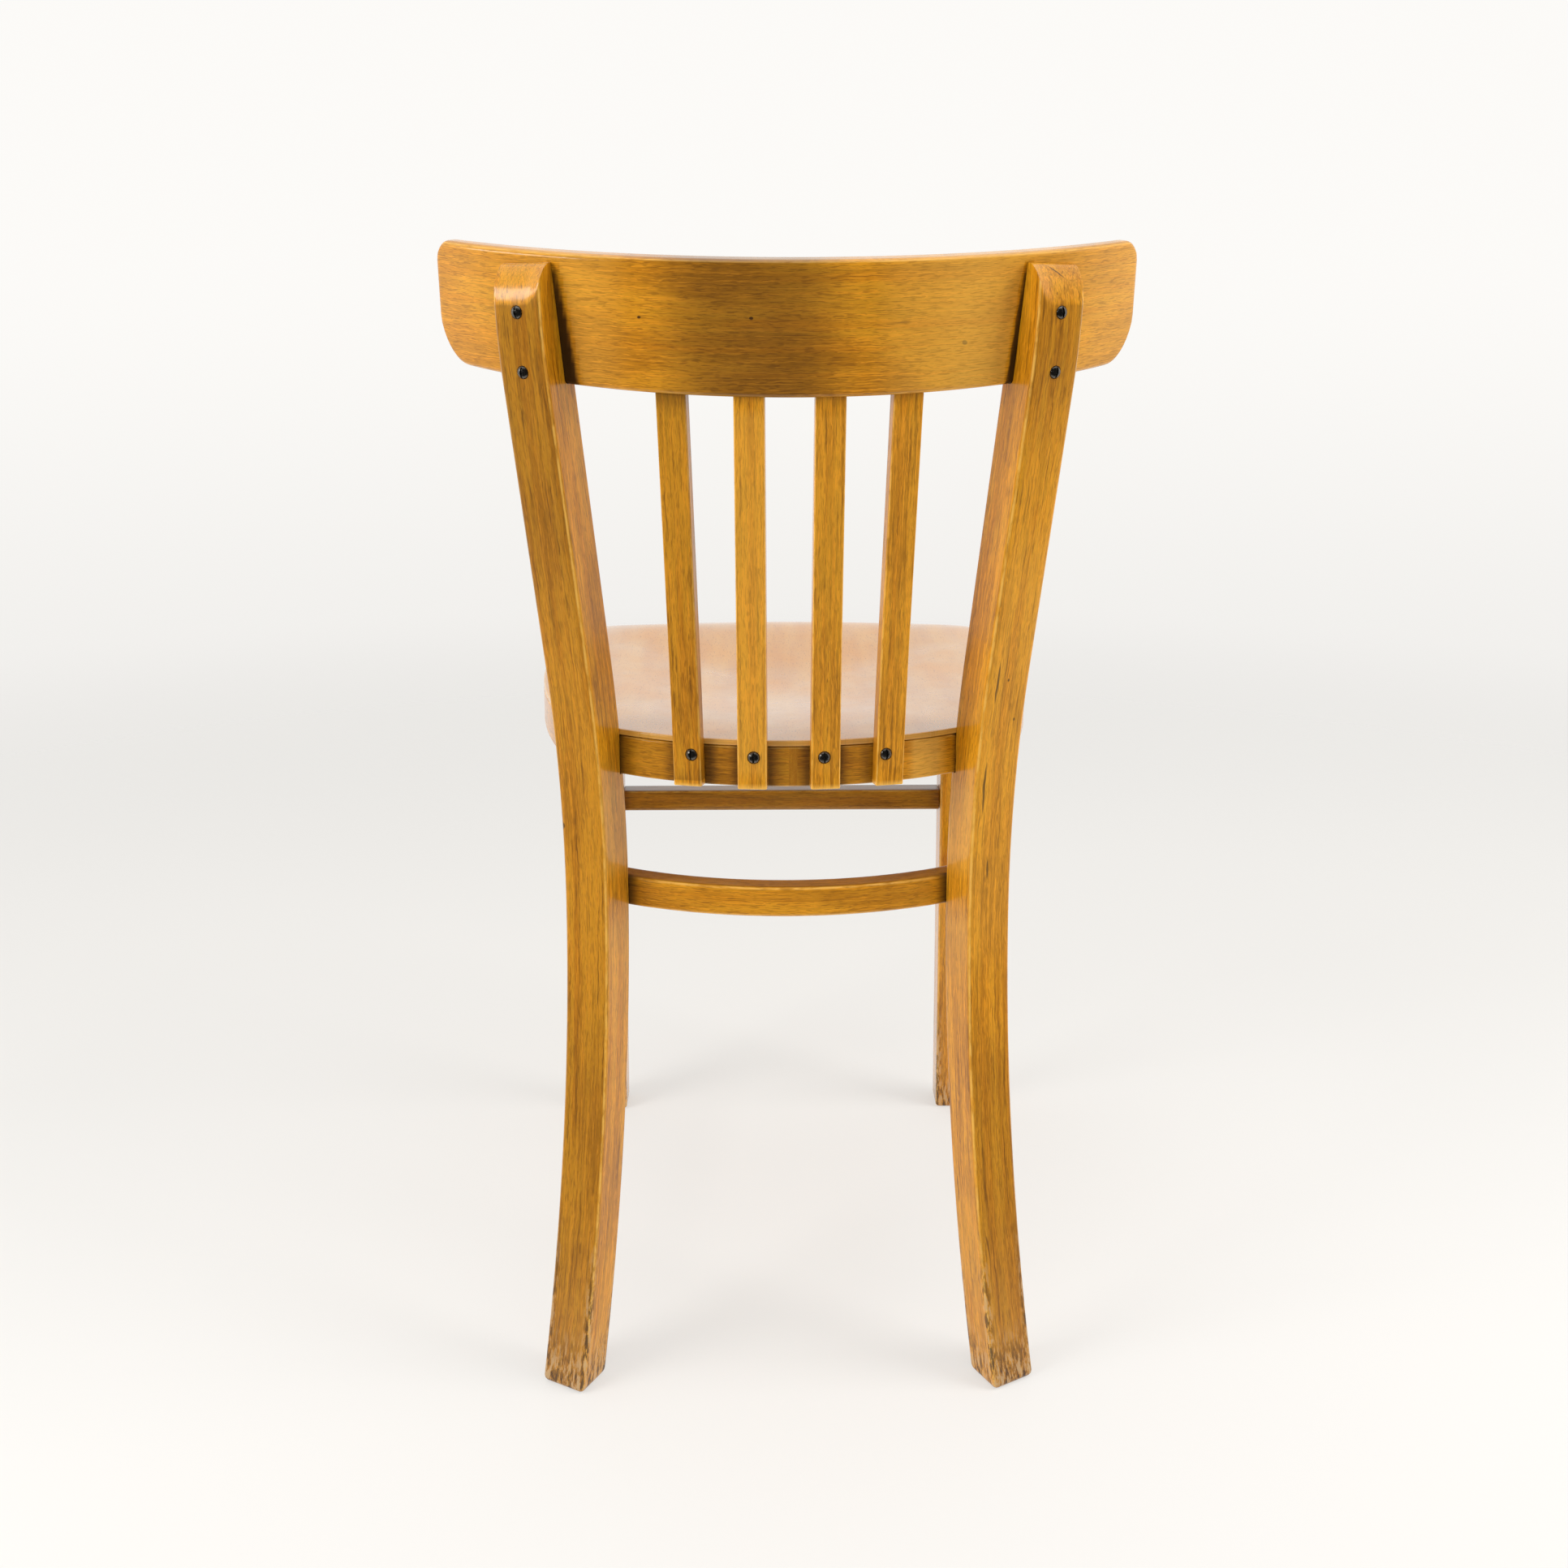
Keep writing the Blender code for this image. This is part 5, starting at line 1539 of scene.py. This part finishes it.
class BISTRO_OT_stage(bpy.types.Operator):
    """Set up the floor, the light and the camera"""
    bl_idname = "bistro.stage"
    bl_label = "Stage"

    def execute(self, context):
        settings = context.scene.bistro_stage
        self.make_floor(settings)
        self.make_world(settings)
        self.make_lamps(settings)
        self.make_camera(settings)
        context.scene.view_settings.view_transform = "Standard"
        return {"FINISHED"}

    def make_floor(self, settings):
        """A round pale floor that fades into the background."""
        bm = bmesh.new()
        bmesh.ops.create_circle(bm, cap_ends=True, segments=96, radius=9.0)
        mesh = bpy.data.meshes.new("floor")
        bm.to_mesh(mesh)
        bm.free()
        floor = link("floor", mesh)
        material, nodes, shader = new_material("Pale floor")
        set_inputs(nodes.tree, shader, {"Base Color": rgba(settings.floor_colour), "Roughness": 0.6})
        place = nodes.add("TexCoord", None, "Object")
        rays, sight = nodes.sight()
        tint = nodes.mix(nodes.ramp(nodes.split(place)[1], 0.35, -0.6), rgba(settings.background),
                         rgba(settings.background_low))
        lit = nodes.add("MixShader", {0: nodes.times(sight, 0.55), 1: shader.outputs[0],
                                      2: nodes.add("Emission", {"Color": tint})})
        away = nodes.add("VectorMath", {0: place}, "Value", operation="LENGTH")
        far = nodes.times(away, nodes.calc("MULTIPLY_ADD", rays["Is Glossy Ray"], 3.0, 1.0))
        clear = nodes.add("BsdfTransparent")
        faded = nodes.add("MixShader", {0: nodes.ramp(far, 0.9, 3.0), 1: lit, 2: clear})
        set_inputs(nodes.tree, nodes.tree.nodes["Material Output"], {"Surface": faded})
        mesh.materials.append(material)

    def make_world(self, settings):
        """A white background for what looks at it, and a softer fill, lower on the back's side, as light."""
        world = bpy.data.worlds.new("Studio")
        bpy.context.scene.world = world
        world.use_nodes = True
        world.node_tree.nodes.clear()
        nodes = Nodes(world.node_tree)
        rays, sight = nodes.sight()
        x, y, z = nodes.split(nodes.add("TexCoord", None, "Generated"))
        wall = nodes.mix(nodes.ramp(z, -0.25, 0.05), rgba(settings.background_low), rgba(settings.background))
        behind_camera = nodes.times(nodes.ramp(y, 0.0, 0.38), rays["Is Glossy Ray"])
        shown = nodes.mix(behind_camera, wall, (0.05, 0.047, 0.044, 1.0))
        seen = nodes.add("Background", {"Color": shown, "Strength": 1.0})
        fill_colour = nodes.mix(nodes.ramp(y, -0.15, 0.55), (1.0, 0.99, 0.97, 1.0), (0.85, 0.84, 0.82, 1.0))
        fill = nodes.add("Background", {"Color": fill_colour, "Strength": settings.fill})
        mixed = nodes.add("MixShader", {0: sight, 1: fill, 2: seen})
        add_node(nodes.tree, "ShaderNodeOutputWorld", {"Surface": mixed})

    def make_lamps(self, settings):
        """Two soft lamps beside the chair that the varnish doesn't mirror, one above it, and a low window."""
        lamps = (
            ("lamp_left", (1.9, 1.1, 1.25), 0.75, (1.1, 1.1), False),
            ("lamp_right", (-2.1, 0.45, 1.6), 1.35, (1.3, 1.3), False),
            ("lamp_above", (0.0, 0.1, 2.6), 0.45, (2.4, 2.4), True),
            ("window_left", (1.98, 0.89, 1.31), 0.35, (1.2, 0.4), True),
        )
        for name, place, share, size, mirrored in lamps:
            light = bpy.data.lights.new(name, "AREA")
            light.shape = "RECTANGLE"
            light.size, light.size_y = size
            light.energy = settings.side_lamps * share
            light.color = (1.0, 0.985, 0.96)
            lamp = link(name, light)
            lamp.visible_glossy = mirrored
            lamp.location = place
            aim = Vector(LAMP_AIM) - Vector(place)
            lamp.rotation_euler = aim.to_track_quat("-Z", "Y").to_euler()

    def make_camera(self, settings):
        """The camera stands behind the chair, a little above the rail."""
        camera = bpy.data.cameras.new("camera")
        camera.lens = settings.lens
        camera.sensor_width = 36.0
        camera.shift_y = CAMERA_SHIFT
        holder = link("camera", camera)
        holder.location = CAMERA_PLACE
        holder.rotation_euler = (math.radians(90.0 - CAMERA_TILT), 0.0, math.radians(180.0 - CAMERA_TURN))
        bpy.context.scene.camera = holder


class BISTRO_PT_chair(bpy.types.Panel):
    """The chair's sizes, looks and operators"""
    bl_idname = "BISTRO_PT_chair"
    bl_label = "Bistro chair"
    bl_space_type = "VIEW_3D"
    bl_region_type = "UI"
    bl_category = "Bistro chair"

    def draw(self, context):
        layout = self.layout
        for settings in (context.scene.bistro_sizes, context.scene.bistro_looks, context.scene.bistro_stage):
            box = layout.box()
            for name in settings.bl_rna.properties.keys():
                if name not in ("rna_type", "name"):
                    box.prop(settings, name)
        for operator in OPERATORS:
            layout.operator(operator.bl_idname)


OPERATORS = (
    BISTRO_OT_stage,
    BISTRO_OT_posts,
    BISTRO_OT_rail,
    BISTRO_OT_seat_ring,
    BISTRO_OT_seat_panel,
    BISTRO_OT_slats,
    BISTRO_OT_legs,
    BISTRO_OT_stretchers,
    BISTRO_OT_screws,
)
CLASSES = (BistroWoodLooks, BistroSizes, BistroStage) + OPERATORS + (BISTRO_PT_chair,)


def register():
    """Register the settings, the operators and the panel."""
    for entry in CLASSES:
        bpy.utils.register_class(entry)
    bpy.types.Scene.bistro_looks = bpy.props.PointerProperty(type=BistroWoodLooks)
    bpy.types.Scene.bistro_sizes = bpy.props.PointerProperty(type=BistroSizes)
    bpy.types.Scene.bistro_stage = bpy.props.PointerProperty(type=BistroStage)


def unregister():
    """Remove the settings, the operators and the panel."""
    del bpy.types.Scene.bistro_stage
    del bpy.types.Scene.bistro_sizes
    del bpy.types.Scene.bistro_looks
    for entry in reversed(CLASSES):
        bpy.utils.unregister_class(entry)


def main():
    """Build the whole chair and its stage."""
    register()
    bpy.ops.bistro.stage()
    bpy.ops.bistro.posts()
    bpy.ops.bistro.rail()
    bpy.ops.bistro.seat_ring()
    bpy.ops.bistro.seat_panel()
    bpy.ops.bistro.slats()
    bpy.ops.bistro.legs()
    bpy.ops.bistro.stretchers()
    bpy.ops.bistro.screws()


if __name__ == "__main__":
    main()
